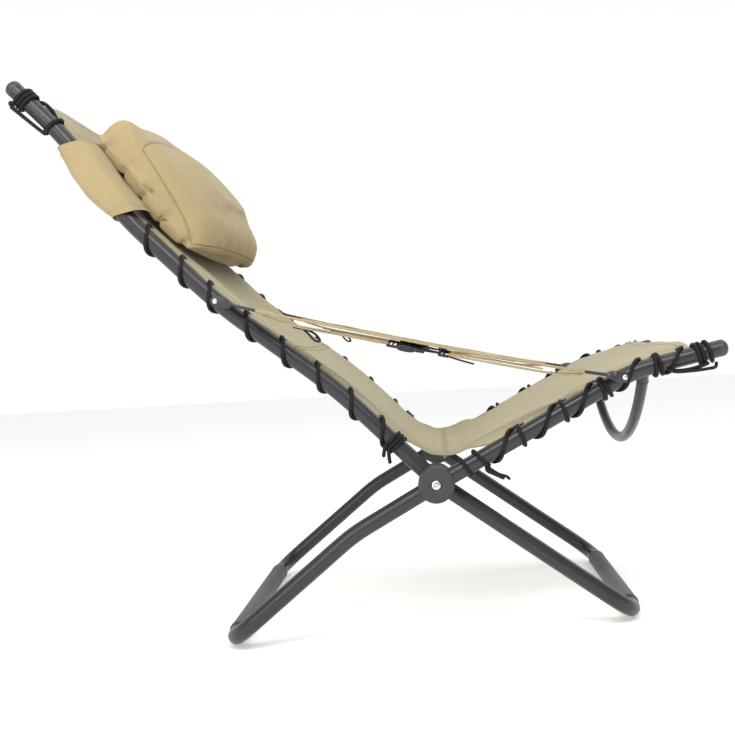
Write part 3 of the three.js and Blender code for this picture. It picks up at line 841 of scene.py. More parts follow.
def back_lacing(sign):
    """Over the hem from the knot by the hub, then inside the headrest's sleeve to the rail's end."""
    lace = Lacing(BACK, BACK_HALF, SLING_BACK_HALF, BACK_EDGE_DROP, sign)
    for distance in BACK_KNOT:
        lace.ring(distance)
    for distance in BACK_TURNS:
        lace.front(distance + 17, distance - 18)
    lace.put(700, -26, 12)
    lace.put(870, -24, 12)
    lace.ring(884)
    lace.put(905, -12, 17)
    lace.put(925, -8, 18)
    for distance in BACK_END_KNOT:
        lace.ring(distance)
    tails = [
        lace.tail((96, 12, -13), (92, 14, -18), (84, 13, -25), (80, 12, -28)),
        lace.tail((103, 13, -12), (101, 15, -19), (95, 14, -27)),
        lace.tail((884, 6, -18), (905, 9, -20), (935, 9, -22), (956, 8, -23), (962, 8, -20),
                  (956, 9, -17), share=0.9),
        lace.tail((884, 2, -19), (910, 4, -21.5), (940, 4, -24), (955, 5, -25), share=0.8),
    ]
    return merged(lace.mesh(), *tails), lace.eyelets


def seat_lacing(sign):
    """Rising and falling turns by pairs, from two plain turns by the hub to the seat's front end."""
    lace = Lacing(SEAT, SEAT_HALF, SLING_SEAT_HALF, SEAT_EDGE_DROP, sign)
    lace.ring(58, 10)
    lace.ring(87, 20)
    for rising, falling in SEAT_TURNS:
        lace.front(rising + SEAT_LEAN / 2, rising - SEAT_LEAN / 2, rising=True)
        lace.front(falling[0] + 3, falling[0] - 2)
        for distance in falling[1:]:
            lace.ring(distance)
    lace.front(463, 430, rising=True)
    for distance in SEAT_END_KNOT:
        lace.ring(distance, 11)
    tails = [
        lace.tail((86, 8, -16), (84, 14, -21), (92, 17, -30), (101, 17, -43)),
        lace.tail((88, 10, -15), (92, 15, -24), (99, 18, -36), (108, 18, -44), (109, 18, -49),
                  share=0.8),
        lace.tail((430, 12, -13), (440, 15, -19), (470, 16, -24), (496, 15, -27), (505, 15, -27),
                  (507, 15, -21), share=0.85),
        lace.tail((434, 9, -15), (455, 13, -20), (478, 12, -20), (494, 10, -18)),
    ]
    return merged(lace.mesh(), *tails), lace.eyelets


def lacing():
    """Lays every cord and returns the eyelets' distances along the back and the seat."""
    for side, sign in SIDES:
        cord, back_eyelets = back_lacing(sign)
        fit(f"back_lace_{side}", cord, CORD, "back_frame", "lace_cord", f"back_lacing_{side}")
        cord, seat_eyelets = seat_lacing(sign)
        fit(f"seat_lace_{side}", cord, CORD, "seat_frame", "lace_cord", f"seat_lacing_{side}")
    return back_eyelets, seat_eyelets


# --- Sling ---
class Sling:
    """The sheet's surface, by its distance from the head end and its share across, from -1 to 1."""

    def __init__(self, back_eyelets, seat_eyelets):
        back = BACK.stretch(SLING_BACK_END, SLING_SPLIT, 5, SLING_RISE)
        seat = SEAT.stretch(SLING_SPLIT, SLING_SEAT_END, 5, SLING_RISE)
        start, end = back[-1], seat[0]
        down = -BACK.at(10)[1]
        up = SEAT.at(10)[1]
        gap = end - start
        reach = (gap.x * up.z - gap.z * up.x) / (down.x * up.z - down.z * up.x)
        valley = bend([start, start + down * reach, end], [VALLEY_R], 0.12)
        coarse = back[:-1] + valley + seat[1:]
        runs = [0.0]
        for a, b in zip(coarse, coarse[1:]):
            runs.append(runs[-1] + (b - a).length)
        self.length = runs[-1]
        self.back_length = SLING_BACK_END - SLING_SPLIT
        self.seat_from = self.length - (SLING_SEAT_END - SLING_SPLIT)
        self.fold_at = (self.back_length + self.seat_from) / 2 + 6
        self.marks = np.arange(0, self.length + 0.5, 1.0)
        self.line = [np.interp(self.marks, runs, [getattr(p, axis) for p in coarse]) for axis in "xz"]
        self.eyelets = sorted(
            [SLING_BACK_END - d for d in back_eyelets]
            + [self.length - SLING_SEAT_END + d for d in seat_eyelets]
            + [4, self.length - 4]
        )

    def half(self, run):
        share = (run - self.back_length) / (self.seat_from - self.back_length)
        return SLING_BACK_HALF + (SLING_SEAT_HALF - SLING_BACK_HALF) * min(max(share, 0), 1)

    def middle(self, run):
        x, z = (np.interp(run, self.marks, axis) for axis in self.line)
        return Vector((x, 0, z))

    def on_line(self, run):
        """The middle line's point and seating-side normal."""
        run = min(max(run, 0), self.length)
        way = self.middle(min(run + 3, self.length)) - self.middle(max(run - 3, 0))
        return self.middle(run), seating_normal(way.normalized())

    def pull(self, run):
        """0 at an eyelet, rising to 1 halfway to the next, and the gap between those two."""
        i = min(max(bisect_right(self.eyelets, run) - 1, 0), len(self.eyelets) - 2)
        gap = max(self.eyelets[i + 1] - self.eyelets[i], 1)
        share = min(max((run - self.eyelets[i]) / gap, 0), 1)
        return math.sin(math.pi * share) ** 2, gap

    def point(self, run, share, side=0):
        """A point of the cloth; side 1 is its top and -1 its underside."""
        base, normal = self.on_line(run)
        half = self.half(run)
        edge = abs(share)
        inboard = half * (1 - edge)
        slack, gap = self.pull(run)
        in_seat = smoothstep(run, self.back_length - 60, self.seat_from + 40)
        in_valley = smoothstep(90 - abs(run - self.fold_at), 0, 55)
        loose = (0.5 + 0.9 * in_seat) * min(gap / 70, 1.3)
        scallop = SCALLOP * loose * slack * math.exp(-inboard / 35)
        ends = min(run, self.length - run)
        taut = smoothstep(ends, 0, 90)
        sag = SLING_SAG * (1 - edge ** 2.2) * (0.35 + 0.65 * taut)
        drop = BACK_EDGE_DROP + (SEAT_EDGE_DROP - BACK_EDGE_DROP) * in_seat
        drop *= math.exp(-inboard / 30) * (1 - 0.9 * in_valley)
        pucker = PUCKER * loose * (slack - 0.5) * math.exp(-inboard / 55)
        ripple = noise.noise(Vector((run / 95, share * 2.1, 3.7))) * (1.2 + 2.0 * in_seat)
        fine = noise.noise(Vector((run / 33, share * half / 90, 9.1))) * 0.9
        wave = noise.noise(Vector((run / 26, 1.7 * (1 if share > 0 else -1), 0.4)))
        wave *= (0.9 + 1.2 * in_seat + 2.4 * in_valley) * math.exp(-inboard / 28)
        crease = -CREASE_DEPTH * math.exp(-((run - self.fold_at) / CREASE_WIDTH) ** 2) * (1 - edge ** 10)
        seam = SEAM_RAISE * smoothstep(7 - abs(run - (SLING_BACK_END - SEAM_AT)), 0, 1.6)
        hem = HEM_RAISE * smoothstep(HEM_WIDTH - inboard, 0, 2)
        hem += HEM_RAISE * smoothstep(END_HEM_WIDTH - ends, 0, 2)
        lift = -sag - drop + pucker + ripple + fine + wave + crease
        thick = SLING_THICK / 2 + (seam if side > 0 else 0) + hem
        y = share * (half - scallop)
        return Vector((base.x, y, base.z)) + normal * (lift + side * thick)


def grid(count_u, count_v, at, flip=False):
    """Verts and quads over count_u by count_v points; at gives each its place."""
    verts = [at(i, j) for i in range(count_u) for j in range(count_v)]
    faces = []
    for i in range(count_u - 1):
        for j in range(count_v - 1):
            near, far = i * count_v + j, (i + 1) * count_v + j
            quad = (near, far, far + 1, near + 1)
            faces.append(quad[::-1] if flip else quad)
    return verts, faces


def sling_mesh(cloth):
    """The sheet's top and underside, and the rim between them."""
    shares = [math.sin(math.pi / 2 * t) * 0.35 + 0.65 * t for t in np.linspace(-1, 1, 81)]
    shares[0], shares[-1] = -1, 1
    close = np.arange(cloth.fold_at - 22, cloth.fold_at + 22, 1.1)
    runs = sorted({*np.linspace(0, cloth.length, 320).tolist(), *close.tolist()})
    rows, count = len(runs), len(shares)
    top, faces = grid(rows, count, lambda i, j: cloth.point(runs[i], shares[j], 1))
    under, back_faces = grid(rows, count, lambda i, j: cloth.point(runs[i], shares[j], -1), True)
    start = len(top)
    faces += [tuple(k + start for k in face) for face in back_faces]
    rim = [i * count for i in range(rows)]
    rim += [(rows - 1) * count + j for j in range(1, count)]
    rim += [i * count + count - 1 for i in range(rows - 2, -1, -1)]
    rim += [j for j in range(count - 2, 0, -1)]
    for a, b in zip(rim, rim[1:] + rim[:1]):
        faces.append((b, a, a + start, b + start))
    flat = [(share * cloth.half(run) * MM, run * MM) for run in runs for share in shares]
    uvs = [[flat[k % start] for k in face] for face in faces]
    return top + under, faces, uvs


def sling_seams(cloth):
    """Two rows of stitches along each side, one across each end and two over the back's seam."""
    threads = []
    for sign in (-1, 1):
        for inset in (3.5, 21):
            threads.append([(run, sign * (1 - inset / cloth.half(run)))
                            for run in np.arange(4, cloth.length - 4, STITCH_PITCH)])
    seam = SLING_BACK_END - SEAM_AT
    for run in (16, cloth.length - 16, seam - 4.5, seam + 4.5):
        threads.append([(run, share) for share in np.arange(-0.97, 0.97, STITCH_PITCH / 270)])
    made = []
    for line in threads:
        made += stitches([cloth.point(run, share, 1) for run, share in line])
    return merged(*made)


def sling_eyelets(cloth):
    profile = [(3.3, 0.9), (4.0, 1.3), (5.4, 1.0), (6.2, 0.1), (6.2, -3.2), (3.3, -3.2)]
    rings = []
    for run in cloth.eyelets[1:-1]:
        for sign in (-1, 1):
            centre = cloth.point(run, sign * (1 - EYELET_INSET / cloth.half(run)), 1)
            rings.append(lathe(profile, centre, cloth.on_line(run)[1], 20, closed=True))
    return merged(*rings)


def sling(eyelets):
    cloth = Sling(*eyelets)
    reach = Vector((0.07, 0, 0))
    sheet = piece("sling_sheet", *sling_mesh(cloth), sharp=60)
    soft_edge(sheet)
    span(sheet, CANVAS, HUB - reach, HUB + reach, "sling_canvas",
         "sling_back_panel", "sling_valley_panel", "sling_seat_panel")
    seams = piece("sling_stitching", *sling_seams(cloth))
    span(seams, THREAD, HUB - reach, HUB + reach, "sling_canvas")
    rings = piece("sling_eyelets", *sling_eyelets(cloth))
    span(rings, BUCKLE_PLASTIC, HUB - reach, HUB + reach, "lace_cord")


def soft_edge(obj):
    """A small bevel that takes the knife edge off cut cloth."""
    bevel = obj.modifiers.new("edge", "BEVEL")
    bevel.width = 0.0007
    bevel.segments = 2
    bevel.limit_method = "ANGLE"
    bevel.angle_limit = math.radians(60)
    apply_modifiers(obj)


def stitches(spots, radius=0.45, share=0.68):
    """Short raised stitches between neighbouring spots of a seam."""
    made = []
    for a, b in zip(spots, spots[1:]):
        a, b = Vector(a), Vector(b)
        if (b - a).length < 0.5:
            continue
        end = a.lerp(b, share)
        made.append(sweep([a, a.lerp(end, 0.2), a.lerp(end, 0.8), end],
                          lambda i: circle(radius if i in (1, 2) else radius * 0.35, 5), (0, 0.3, 1)))
    return made


# --- Arms ---
class Arm:
    """Places on an arm by the distance along its band from the rear link's end."""

    def __init__(self, side, sign):
        over = TUBE_R + LINK_STANDOFF + LINK_THICK / 2
        self.side, self.sign = side, sign
        self.rear_rivet = beside([BACK.at(REAR_RIVET_AT)[0]], sign * (BACK_HALF + over))[0]
        self.front_rivet = beside([SEAT.at(FRONT_RIVET_AT)[0]], sign * (SEAT_HALF + over))[0]
        self.rear = Vector((REAR_LINK_END[0], self.rear_rivet.y + sign * LINK_KICK, REAR_LINK_END[1]))
        self.front = Vector((FRONT_LINK_END[0], self.front_rivet.y + sign * LINK_KICK, FRONT_LINK_END[1]))
        self.length = (self.front - self.rear).length
        self.way = (self.front - self.rear).normalized()
        self.under = Vector((self.way.z, 0, -self.way.x)).normalized()
        self.across = (Vector((0, 1, 0)) - self.way * self.way.y).normalized()
        self.socket = self.length * BUCKLE_AT
        self.rear_slide = self.socket - SLIDE_LENGTH
        self.plug = self.socket + SOCKET_LENGTH
        self.web = self.plug + PLUG_LENGTH
        self.front_slide = self.web + WEB_LENGTH
        self.strap_from = self.front_slide + SLIDE_LENGTH

    def on(self, distance, drop=0, out=0):
        return self.rear + self.way * distance + self.under * drop + self.across * (out * self.sign)

    def rolled(self, distance, drop=0, out=0):
        """A place on the buckle, which hangs rolled about the strap."""
        side = self.across * math.cos(BUCKLE_ROLL) - self.under * math.sin(BUCKLE_ROLL)
        up = -self.under * math.cos(BUCKLE_ROLL) - self.across * math.sin(BUCKLE_ROLL)
        base = self.rear + self.way * distance + self.under * STRAP_DROP
        return base + side * (out * self.sign) + up * (STRAP_DROP - drop)

    def block(self, start, end, drop, width_at, thick_at, steps=10, corner=1.2, roll=False):
        """A body along the arm whose width and thickness are functions of the share of its length."""
        line = [self.on(start + (end - start) * k / steps, drop) for k in range(steps + 1)]
        side = self.rolled(0, 0, self.sign) - self.rolled(0) if roll else (0, 1, 0)
        return sweep(line, lambda i: slab(width_at(i / steps), thick_at(i / steps), corner), side,
                     2 * (width_at(0.5) + thick_at(0.5)) * MM)

    def strap(self, places, width, thick, seed, flutter=0.5):
        """A soft strap through places, each by its distance and drop."""
        return ribbon([self.on(*place) for place in places], width, thick, seed, flutter)

    def cloth(self, name, slot, material, mesh, *nodes):
        """A piece of the arm, named for its side, with its placement baked in and no body."""
        made = piece(f"{name}_{self.side}", *mesh)
        return span(made, material, HUB + self.rear * MM, HUB + self.front * MM, slot, *nodes)


def smooth_line(points, spacing=5):
    """Points at an even spacing on a smooth line through the given ones."""
    points = [Vector(p) for p in points]
    padded = [2 * points[0] - points[1], *points, 2 * points[-1] - points[-2]]
    line = []
    for p0, p1, p2, p3 in zip(padded, padded[1:], padded[2:], padded[3:]):
        steps = max(1, round((p2 - p1).length / spacing))
        for k in range(steps):
            line.append(spline_point(p0, p1, p2, p3, k / steps))
    line.append(points[-1])
    return line


def ribbon(points, width, thick, seed, flutter):
    """A soft strap through points, with worn edges and a slight flutter."""
    line = smooth_line(points)

    def outline(i):
        sway = noise.noise(Vector((i / 9, seed, 0)))
        twist = flutter * noise.noise(Vector((i / 14, seed, 5)))
        return [(a + sway * 0.8, b * (1 - 0.25 * (2 * a / width) ** 4) + twist * a / width * 2)
                for a, b in slab(width, thick, thick * 0.45, 3)]

    return sweep(line, outline, girth=2 * (width + thick) * MM)


def arm_link(rivet, end):
    """A flat link that lies on its rail at the rivet and is twisted level beyond it."""
    run = end - rivet
    length = run.length
    half = LINK_WIDTH / 2
    stations = [-half * math.cos(math.radians(a)) for a in range(8, 90, 12)]
    stations += [length * k / 40 for k in range(41)]
    line = [rivet + run.normalized() * s for s in stations]

    def outline(i):
        s = stations[i]
        width = LINK_WIDTH if s >= 0 else 2 * math.sqrt(max(half ** 2 - s ** 2, 0.4))
        twist = smoothstep(s / length, 0.12, 0.5) * math.pi / 2
        thick = LINK_THICK + 2.4 * smoothstep(s / length, 0.25, 0.5)
        turned = []
        for a, b in slab(thick, width, 1.2):
            turned.append((a * math.cos(twist) - b * math.sin(twist),
                           a * math.sin(twist) + b * math.cos(twist)))
        return turned

    return sweep(line, outline)


def rivet_head(centre, sign):
    rise = LINK_THICK / 2 + 0.1
    dome = crown(RIVET_HEAD_R, rise + 0.8, 2.3, 8, 0)
    profile = [(0, -6), (3.2, -6), (3.2, rise), (RIVET_HEAD_R - 0.3, rise), (RIVET_HEAD_R, rise + 0.3)]
    return lathe(profile + dome, centre, (0, sign, 0), 32)


def teardrop(arm, distance):
    """A small cord loop that hangs under the rear strap."""
    shape = [(-2, 15), (7, 17), (15, 20), (22, 25), (25, 29.5), (20, 31), (12, 27.5), (4, 21), (-4, 16)]
    line = [arm.on(distance + along, drop, 6 + k * 0.9) for k, (along, drop) in enumerate(shape)]
    anchor = [arm.on(distance - 22, 14.6, 8), arm.on(distance + 2, 15.2, 8)]
    return merged(rod(smooth_line(line, 2), 1.9, 8, dome=1.8),
                  rod(smooth_line(anchor, 3), 2.0, 8, dome=1.9))


def strap_slide(arm, start):
    """A moulded two-slot slide with rounded bars."""
    width = STRAP_WIDTH + 6
    half = SLIDE_LENGTH / 2
    centre = start + half
    loops = []
    bars_at = (-half + 1.4, 0, half - 1.4)
    for k, along in enumerate(bars_at):
        ends = [arm.rolled(centre + along, STRAP_DROP, s * (width / 2 - 1.5)) for s in (-1, 1)]
        loops.append(rod(ends, 2.1 if k != 1 else 1.5, 12, side=arm.way))
    for s in (-1, 1):
        line = [arm.rolled(centre + along, STRAP_DROP, s * (width / 2 - 1.6)) for along in bars_at]
        loops.append(sweep(line, slab(3.6, 4.4, 1.6), arm.across))
    return merged(*loops)


def buckle_socket(arm, start):
    """The female half: a box with soft shoulders, side windows and a ribbed grip."""
    end = start + SOCKET_LENGTH
    width = STRAP_WIDTH + 6

    def wide(t):
        return width - 5 * smoothstep(t, 0.8, 1) - 2 * smoothstep(1 - t, 0.85, 1)

    def thick(t):
        return 11.5 - 3 * abs(2 * t - 1) ** 3

    body = [arm.block(start, end, STRAP_DROP, wide, thick, 16, 3.2, True)]
    for k in range(4):
        along = start + 7 + k * 3
        for face in (-1, 1):
            ends = [arm.rolled(along, STRAP_DROP + face * 5.5, s * 7) for s in (-1, 1)]
            body.append(rod(ends, 0.9, 8, dome=0.8, side=arm.way))
    return merged(*body)


def buckle_plug(arm, start):
    """The male half: a flat body with two side prongs that run into the socket."""
    end = start + PLUG_LENGTH
    body = [arm.block(start + 4, end, STRAP_DROP, lambda t: 20 + 7 * smoothstep(t, 0.3, 0.7),
                      lambda t: 6.4, 8, 2, True)]
    for s in (-1, 1):
        prong = [arm.rolled(start - 3, STRAP_DROP, s * 9), arm.rolled(start + 2, STRAP_DROP, s * 13),
                 arm.rolled(start + 8, STRAP_DROP, s * 12.6), arm.rolled(end - 2, STRAP_DROP, s * 10)]
        body.append(sweep(smooth_line(prong, 2), slab(3.2, 5.6, 1.3), arm.across))
    bar = [arm.rolled(end - 1, STRAP_DROP, s * 13) for s in (-1, 1)]
    body.append(rod(bar, 2.2, 12, dome=1.5, side=arm.way))
    return merged(*body)


def links(arm):
    for name, rivet, end, body in (("rear", arm.rear_rivet, arm.rear, "back_frame"),
                                   ("front", arm.front_rivet, arm.front, "seat_frame")):
        fit(f"{name}_link_{arm.side}", arm_link(rivet, end), LINK_STEEL, body, "link_steel",
            f"{name}_arm_link_{arm.side}")
        fit(f"{name}_rivet_{arm.side}", rivet_head(rivet, arm.sign), ZINC, body, "bright_steel",
            f"{name}_arm_rivet_{arm.side}")


def upper_band(arm):
    """The wide band along the top of an arm, with a pocket over each link's end."""
    end = arm.length
    sag = [(-3, 0), (30, 0.6), (120, 1.6), (270, 2.6), (420, 1.8), (end - 30, 0.7), (end + 3, 0)]
    mesh = merged(
        arm.strap(sag, BAND_WIDTH, 5.0, arm.sign + 2.0, 1.8),
        arm.block(-5, 26, 0.2, lambda t: 33 + 5 * t, lambda t: 8.4 - 4.2 * t, 10, 2.6),
        arm.block(end - 26, end + 5, 0.2, lambda t: 38 - 5 * t, lambda t: 4.2 + 4.2 * t, 10, 2.6),
    )
    band = arm.cloth("arm_strap", "arm_canvas", ARM_CANVAS, mesh, f"arm_band_{arm.side}")


def rear_strap(arm):
    """The lower strap from the rear link, doubled at its slide."""
    slide = arm.rear_slide
    over = [(4, 6.4), (50, 11), (130, STRAP_DROP - 1), (slide - 2, STRAP_DROP - 1.2)]
    under = [(44, 12.6), (90, 14), (140, STRAP_DROP + 1.6), (slide - 6, STRAP_DROP + 1.4)]
    mesh = merged(
        arm.strap(over, STRAP_CLOTH, 2.8, arm.sign + 7.0),
        arm.strap(under, STRAP_CLOTH, 3.0, arm.sign + 9.0),
        arm.block(slide - 22, slide + 2, STRAP_DROP, lambda t: STRAP_CLOTH - 5 * t,
                  lambda t: 6.8 - 2.4 * t, 8, 2.2),
    )
    strap = arm.cloth("rear_strap", "arm_canvas", ARM_CANVAS, mesh, f"rear_lower_strap_{arm.side}")


def front_strap(arm):
    """The lower strap to the front link, doubled at its slide."""
    start, end = arm.strap_from, arm.length
    over = [(start + 1, STRAP_DROP - 1.4), (start + 40, STRAP_DROP - 2.4), (end - 110, STRAP_DROP - 4),
            (end - 62, 7.6)]
    under = [(start + 3, STRAP_DROP + 1.2), (start + 60, STRAP_DROP + 1), (end - 60, STRAP_DROP),
             (end - 26, STRAP_DROP - 3), (end + 1, 5.6)]
    mesh = merged(
        arm.strap(over, STRAP_CLOTH, 3.0, arm.sign + 11.0, 1.0),
        arm.strap(under, STRAP_CLOTH, 3.6, arm.sign + 13.0),
        arm.block(start - 2, start + 18, STRAP_DROP, lambda t: STRAP_CLOTH - 5 * (1 - t),
                  lambda t: 4.4 + 2 * t, 8, 2.2),
    )
    strap = arm.cloth("front_strap", "arm_canvas", ARM_CANVAS, mesh, f"front_lower_strap_{arm.side}")


def buckle(arm):
    """The clip with a slide at each side of it, and the cord loop under the rear strap."""
    for name, mesh, node in (
            ("rear_ring", strap_slide(arm, arm.rear_slide), "rear_slide"),
            ("front_ring", strap_slide(arm, arm.front_slide), "front_slide"),
            ("clip_socket", buckle_socket(arm, arm.socket), "buckle_socket"),
            ("clip_plug", buckle_plug(arm, arm.plug), "buckle_plug")):
        arm.cloth(name, "buckle_plastic", BUCKLE_PLASTIC, mesh, f"{node}_{arm.side}")
    arm.cloth("hanging_loop", "buckle_plastic", CORD, teardrop(arm, 84))


def webbing(arm):
    """The doubled webbing from the clip to the front slide, and its hanging end."""
    start, end = arm.web, arm.front_slide
    over = [(start - 4, STRAP_DROP - 1.2), (start + 8, STRAP_DROP - 0.6), (end + 3, STRAP_DROP)]
    under = [(start - 4, STRAP_DROP + 1.6), (start + 9, STRAP_DROP + 1.5), (end + 3, STRAP_DROP + 1)]
    join = merged(arm.strap(over, STRAP_WIDTH, 3.2, 1.0, 0.2), arm.strap(under, STRAP_WIDTH, 2.6, 2.0, 0.2))
    arm.cloth("webbing_join", "webbing", WEBBING, join, f"front_webbing_{arm.side}")
    tail = [(end + 6, STRAP_DROP + 1.2), (end + 20, STRAP_DROP + 4), (end + 40, STRAP_DROP + 6.4),
            (end + 12 + TAIL_LENGTH, STRAP_DROP + 8)]
    tail = arm.strap(tail, STRAP_WIDTH, 2.8, 3.0, 0.6)
    arm.cloth("webbing_end", "webbing", WEBBING, tail, f"webbing_tail_{arm.side}")


def arms():
    for side, sign in SIDES:
        arm = Arm(side, sign)
        for part in (links, upper_band, rear_strap, front_strap, buckle, webbing):
            part(arm)


# --- Headrest ---
HEAD_BASE = BACK.at(SLEEVE_FROM)[0]
HEAD_UP = (BACK.at(SLEEVE_FROM + SLEEVE_LENGTH)[0] - HEAD_BASE).normalized()
HEAD_OUT = seating_normal(HEAD_UP)


def head_point(up, out, y):
    """A point by its distance up the back, out from the rails' axis, and across."""
    return HEAD_BASE + HEAD_UP * up + HEAD_OUT * out + Vector((0, y, 0))


def closed_spline(points, count):
    """About count points on a smooth closed line through the given ones."""
    n = len(points)
    each = count // n
    line = []
    for i in range(n):
        p0, p1, p2, p3 = (np.array(points[(i + k - 1) % n], float) for k in range(4))
        for k in range(each):
            line.append(spline_point(p0, p1, p2, p3, k / each))
    return line


def sleeve():
    """A loose fabric tube round both rails, hemmed at both ends."""
    half = BACK_HALF + SLEEVE_OUT - 2
    around = 320
    stations = [0, 0.8, 1.6, 3] + list(np.linspace(6, SLEEVE_LENGTH - 6, 38))
    stations += [SLEEVE_LENGTH - 3, SLEEVE_LENGTH - 1.6, SLEEVE_LENGTH - 0.8, SLEEVE_LENGTH]
    middle_out = (SLEEVE_ABOVE - SLEEVE_BELOW) / 2
    depth = (SLEEVE_ABOVE + SLEEVE_BELOW) / 2 - 1

    def shape(up, turn, inset):
        angle = 2 * math.pi * turn
        c, s = math.cos(angle), math.sin(angle)
        y = half * math.copysign(abs(c) ** 0.16, c)
        out = depth * math.copysign(abs(s) ** 0.42, s)
        share = up / SLEEVE_LENGTH
        mouth = 2.2 * math.cos(math.pi * share) ** 4
        folds = 2.6 * noise.noise(Vector((up / 34, y / 55, s * 1.5))) * (1 - 0.5 * abs(c) ** 6)
        sag = -11 * math.sin(math.pi * share) if s < 0 else 0
        squeeze = 1 + 0.012 * math.sin(math.pi * share)
        wide = y * squeeze - math.copysign(inset, c) * min(abs(c) ** 0.3, 1)
        level = middle_out + out * (1 + 0.02 * mouth) + folds + sag
        level -= math.copysign(inset, s) * abs(s) ** 0.3
        return head_point(up - SLEEVE_SLANT * (level - SLEEVE_PIVOT), level, wide)

    rings = []
    for up in stations:
        edge = min(up, SLEEVE_LENGTH - up)
        hem = 1.1 if edge < 13 else 0.0
        lip = 0.6 if edge < 1 else 0.0
        rings.append([shape(up, -k / around, lip - hem) for k in range(around)])
    inner = []
    for up in reversed(stations):
        edge = min(up, SLEEVE_LENGTH - up)
        inner.append([shape(up, -k / around, 1.9 - (0.5 if edge < 1 else 0)) for k in range(around)])
    verts, faces, _ = loft(rings + inner, closed=True)
    run = [*stations, *reversed(stations)]
    uvs = []
    for f in faces:
        uvs.append([((k % around) / around * 1.3, run[k // around] * MM) for k in f])
    wrap = piece("head_sleeve", verts, faces, uvs, sharp=50)
    finish_as(wrap, PILLOW_CANVAS, "headrest", "headrest_canvas", "headrest_sleeve")
    lines = []
    for up in (10.5, 13, SLEEVE_LENGTH - 10.5, SLEEVE_LENGTH - 13):
        spots = [shape(up, -k / 380, -1.3) for k in range(381)]
        lines += stitches(spots, 0.55)
    seams = piece("sleeve_stitching", *merged(*lines))
    finish_as(seams, THREAD, "headrest", "headrest_canvas")


# The pillow's outline at its middle and at its ends, as [up the back, out from the rails' axis].
PILLOW_MIDDLE = [(148, 46), (60, 34), (-20, 34), (-90, 42), (-130, 66), (-136, 92), (-113, 123),
                 (-60, 136), (19, 135), (94, 122), (136, 108), (155, 86)]
PILLOW_END = [(130, 37), (60, 31), (-8, 29), (-62, 31), (-102, 44), (-106, 58), (-64, 75),
              (-20, 82), (30, 88), (78, 93), (132, 99), (146, 70)]
FOOT_SEAM = 5
HEAD_SEAM = 9
SEAM_DEPTH = 2.6
FILL_FRAMES = 22
FILL_LIMIT = 0.006  # the furthest a point may move as the cover fills, in metres


def pillow_outline(share, count):
    """The outline at a share of the way from the middle to an end."""
    crown = math.sqrt(max(1 - abs(share) ** 3.2, 0))
    mixed = [(e[0] + (m[0] - e[0]) * crown, e[1] + (m[1] - e[1]) * crown)
             for m, e in zip(PILLOW_MIDDLE, PILLOW_END)]
    return closed_spline(mixed, count)


def pillow():
    count = 96
    rows = 61
    shares = [math.sin(math.pi / 2 * t) * 0.55 + 0.45 * t for t in np.linspace(-1, 1, rows)]
    rings = []
    for share in shares:
        outline = pillow_outline(share, count)
        y = PILLOW_HALF * share
        rings.append([head_point(s, t, y) for s, t in outline])
    cap_steps = 8
    caps = []
    for sign in (-1, 1):
        outline = pillow_outline(sign, count)
        centre = sum(outline) / len(outline)
        cap = []
        for k in range(1, cap_steps + 1):
            shrink = 1 - k / (cap_steps + 0.6)
            bulge = 9 * math.sin(math.pi / 2 * (1 - shrink ** 2))
            cap.append([head_point(*(centre + (p - centre) * shrink), sign * (PILLOW_HALF + bulge))
                        for p in outline])
        caps.append(cap)
    rings = caps[0][::-1] + rings + caps[1]
    verts, faces, uvs = loft([ring[::-1] for ring in rings])
    uvs = [[(u * 0.6, v) for u, v in face] for face in uvs]
    made = piece("head_pillow", verts, faces, uvs, sharp=180)
    sew(made, count, (cap_steps, cap_steps + rows - 1))
    inflate(made, count)
    lines = seam_lines(count, (cap_steps, cap_steps + rows - 1))
    refine(made)
    gather(made)
    piping(made, lines)
    finish_as(made, PILLOW_CANVAS, "headrest", "headrest_canvas", "headrest_pillow")


def seam_lines(count, ends):
    """The vertex numbers along the top panel's four edges: both ends, the foot and the head."""
    each = count // len(PILLOW_MIDDLE)
    foot, head = ((count - 1 - corner * each) % count for corner in (FOOT_SEAM, HEAD_SEAM))
    first, last = sorted((foot, head))
    lines = [[row * count + j for j in range(first, last + 1)] for row in ends]
    lines += [[row * count + column for row in range(ends[0], ends[1] + 1)] for column in (foot, head)]
    return lines


def sew(obj, count, ends):
    seams = obj.vertex_groups.new(name="seams")
    for line in seam_lines(count, ends):
        seams.add(line, 1.0, "REPLACE")


def piping(cushion, lines):
    """A thin sewn edge that stands just out of each sunken seam."""
    for number, line in enumerate(lines):
        spots = [(cushion.data.vertices[k].co - HUB) / MM for k in line]
        welt = rod(smooth_line(spots[::2] + spots[-1:], 4), 0.75, 8, dome=0.7)
        fit(f"pillow_seam_{number + 1}", welt, THREAD, "headrest", "headrest_canvas")


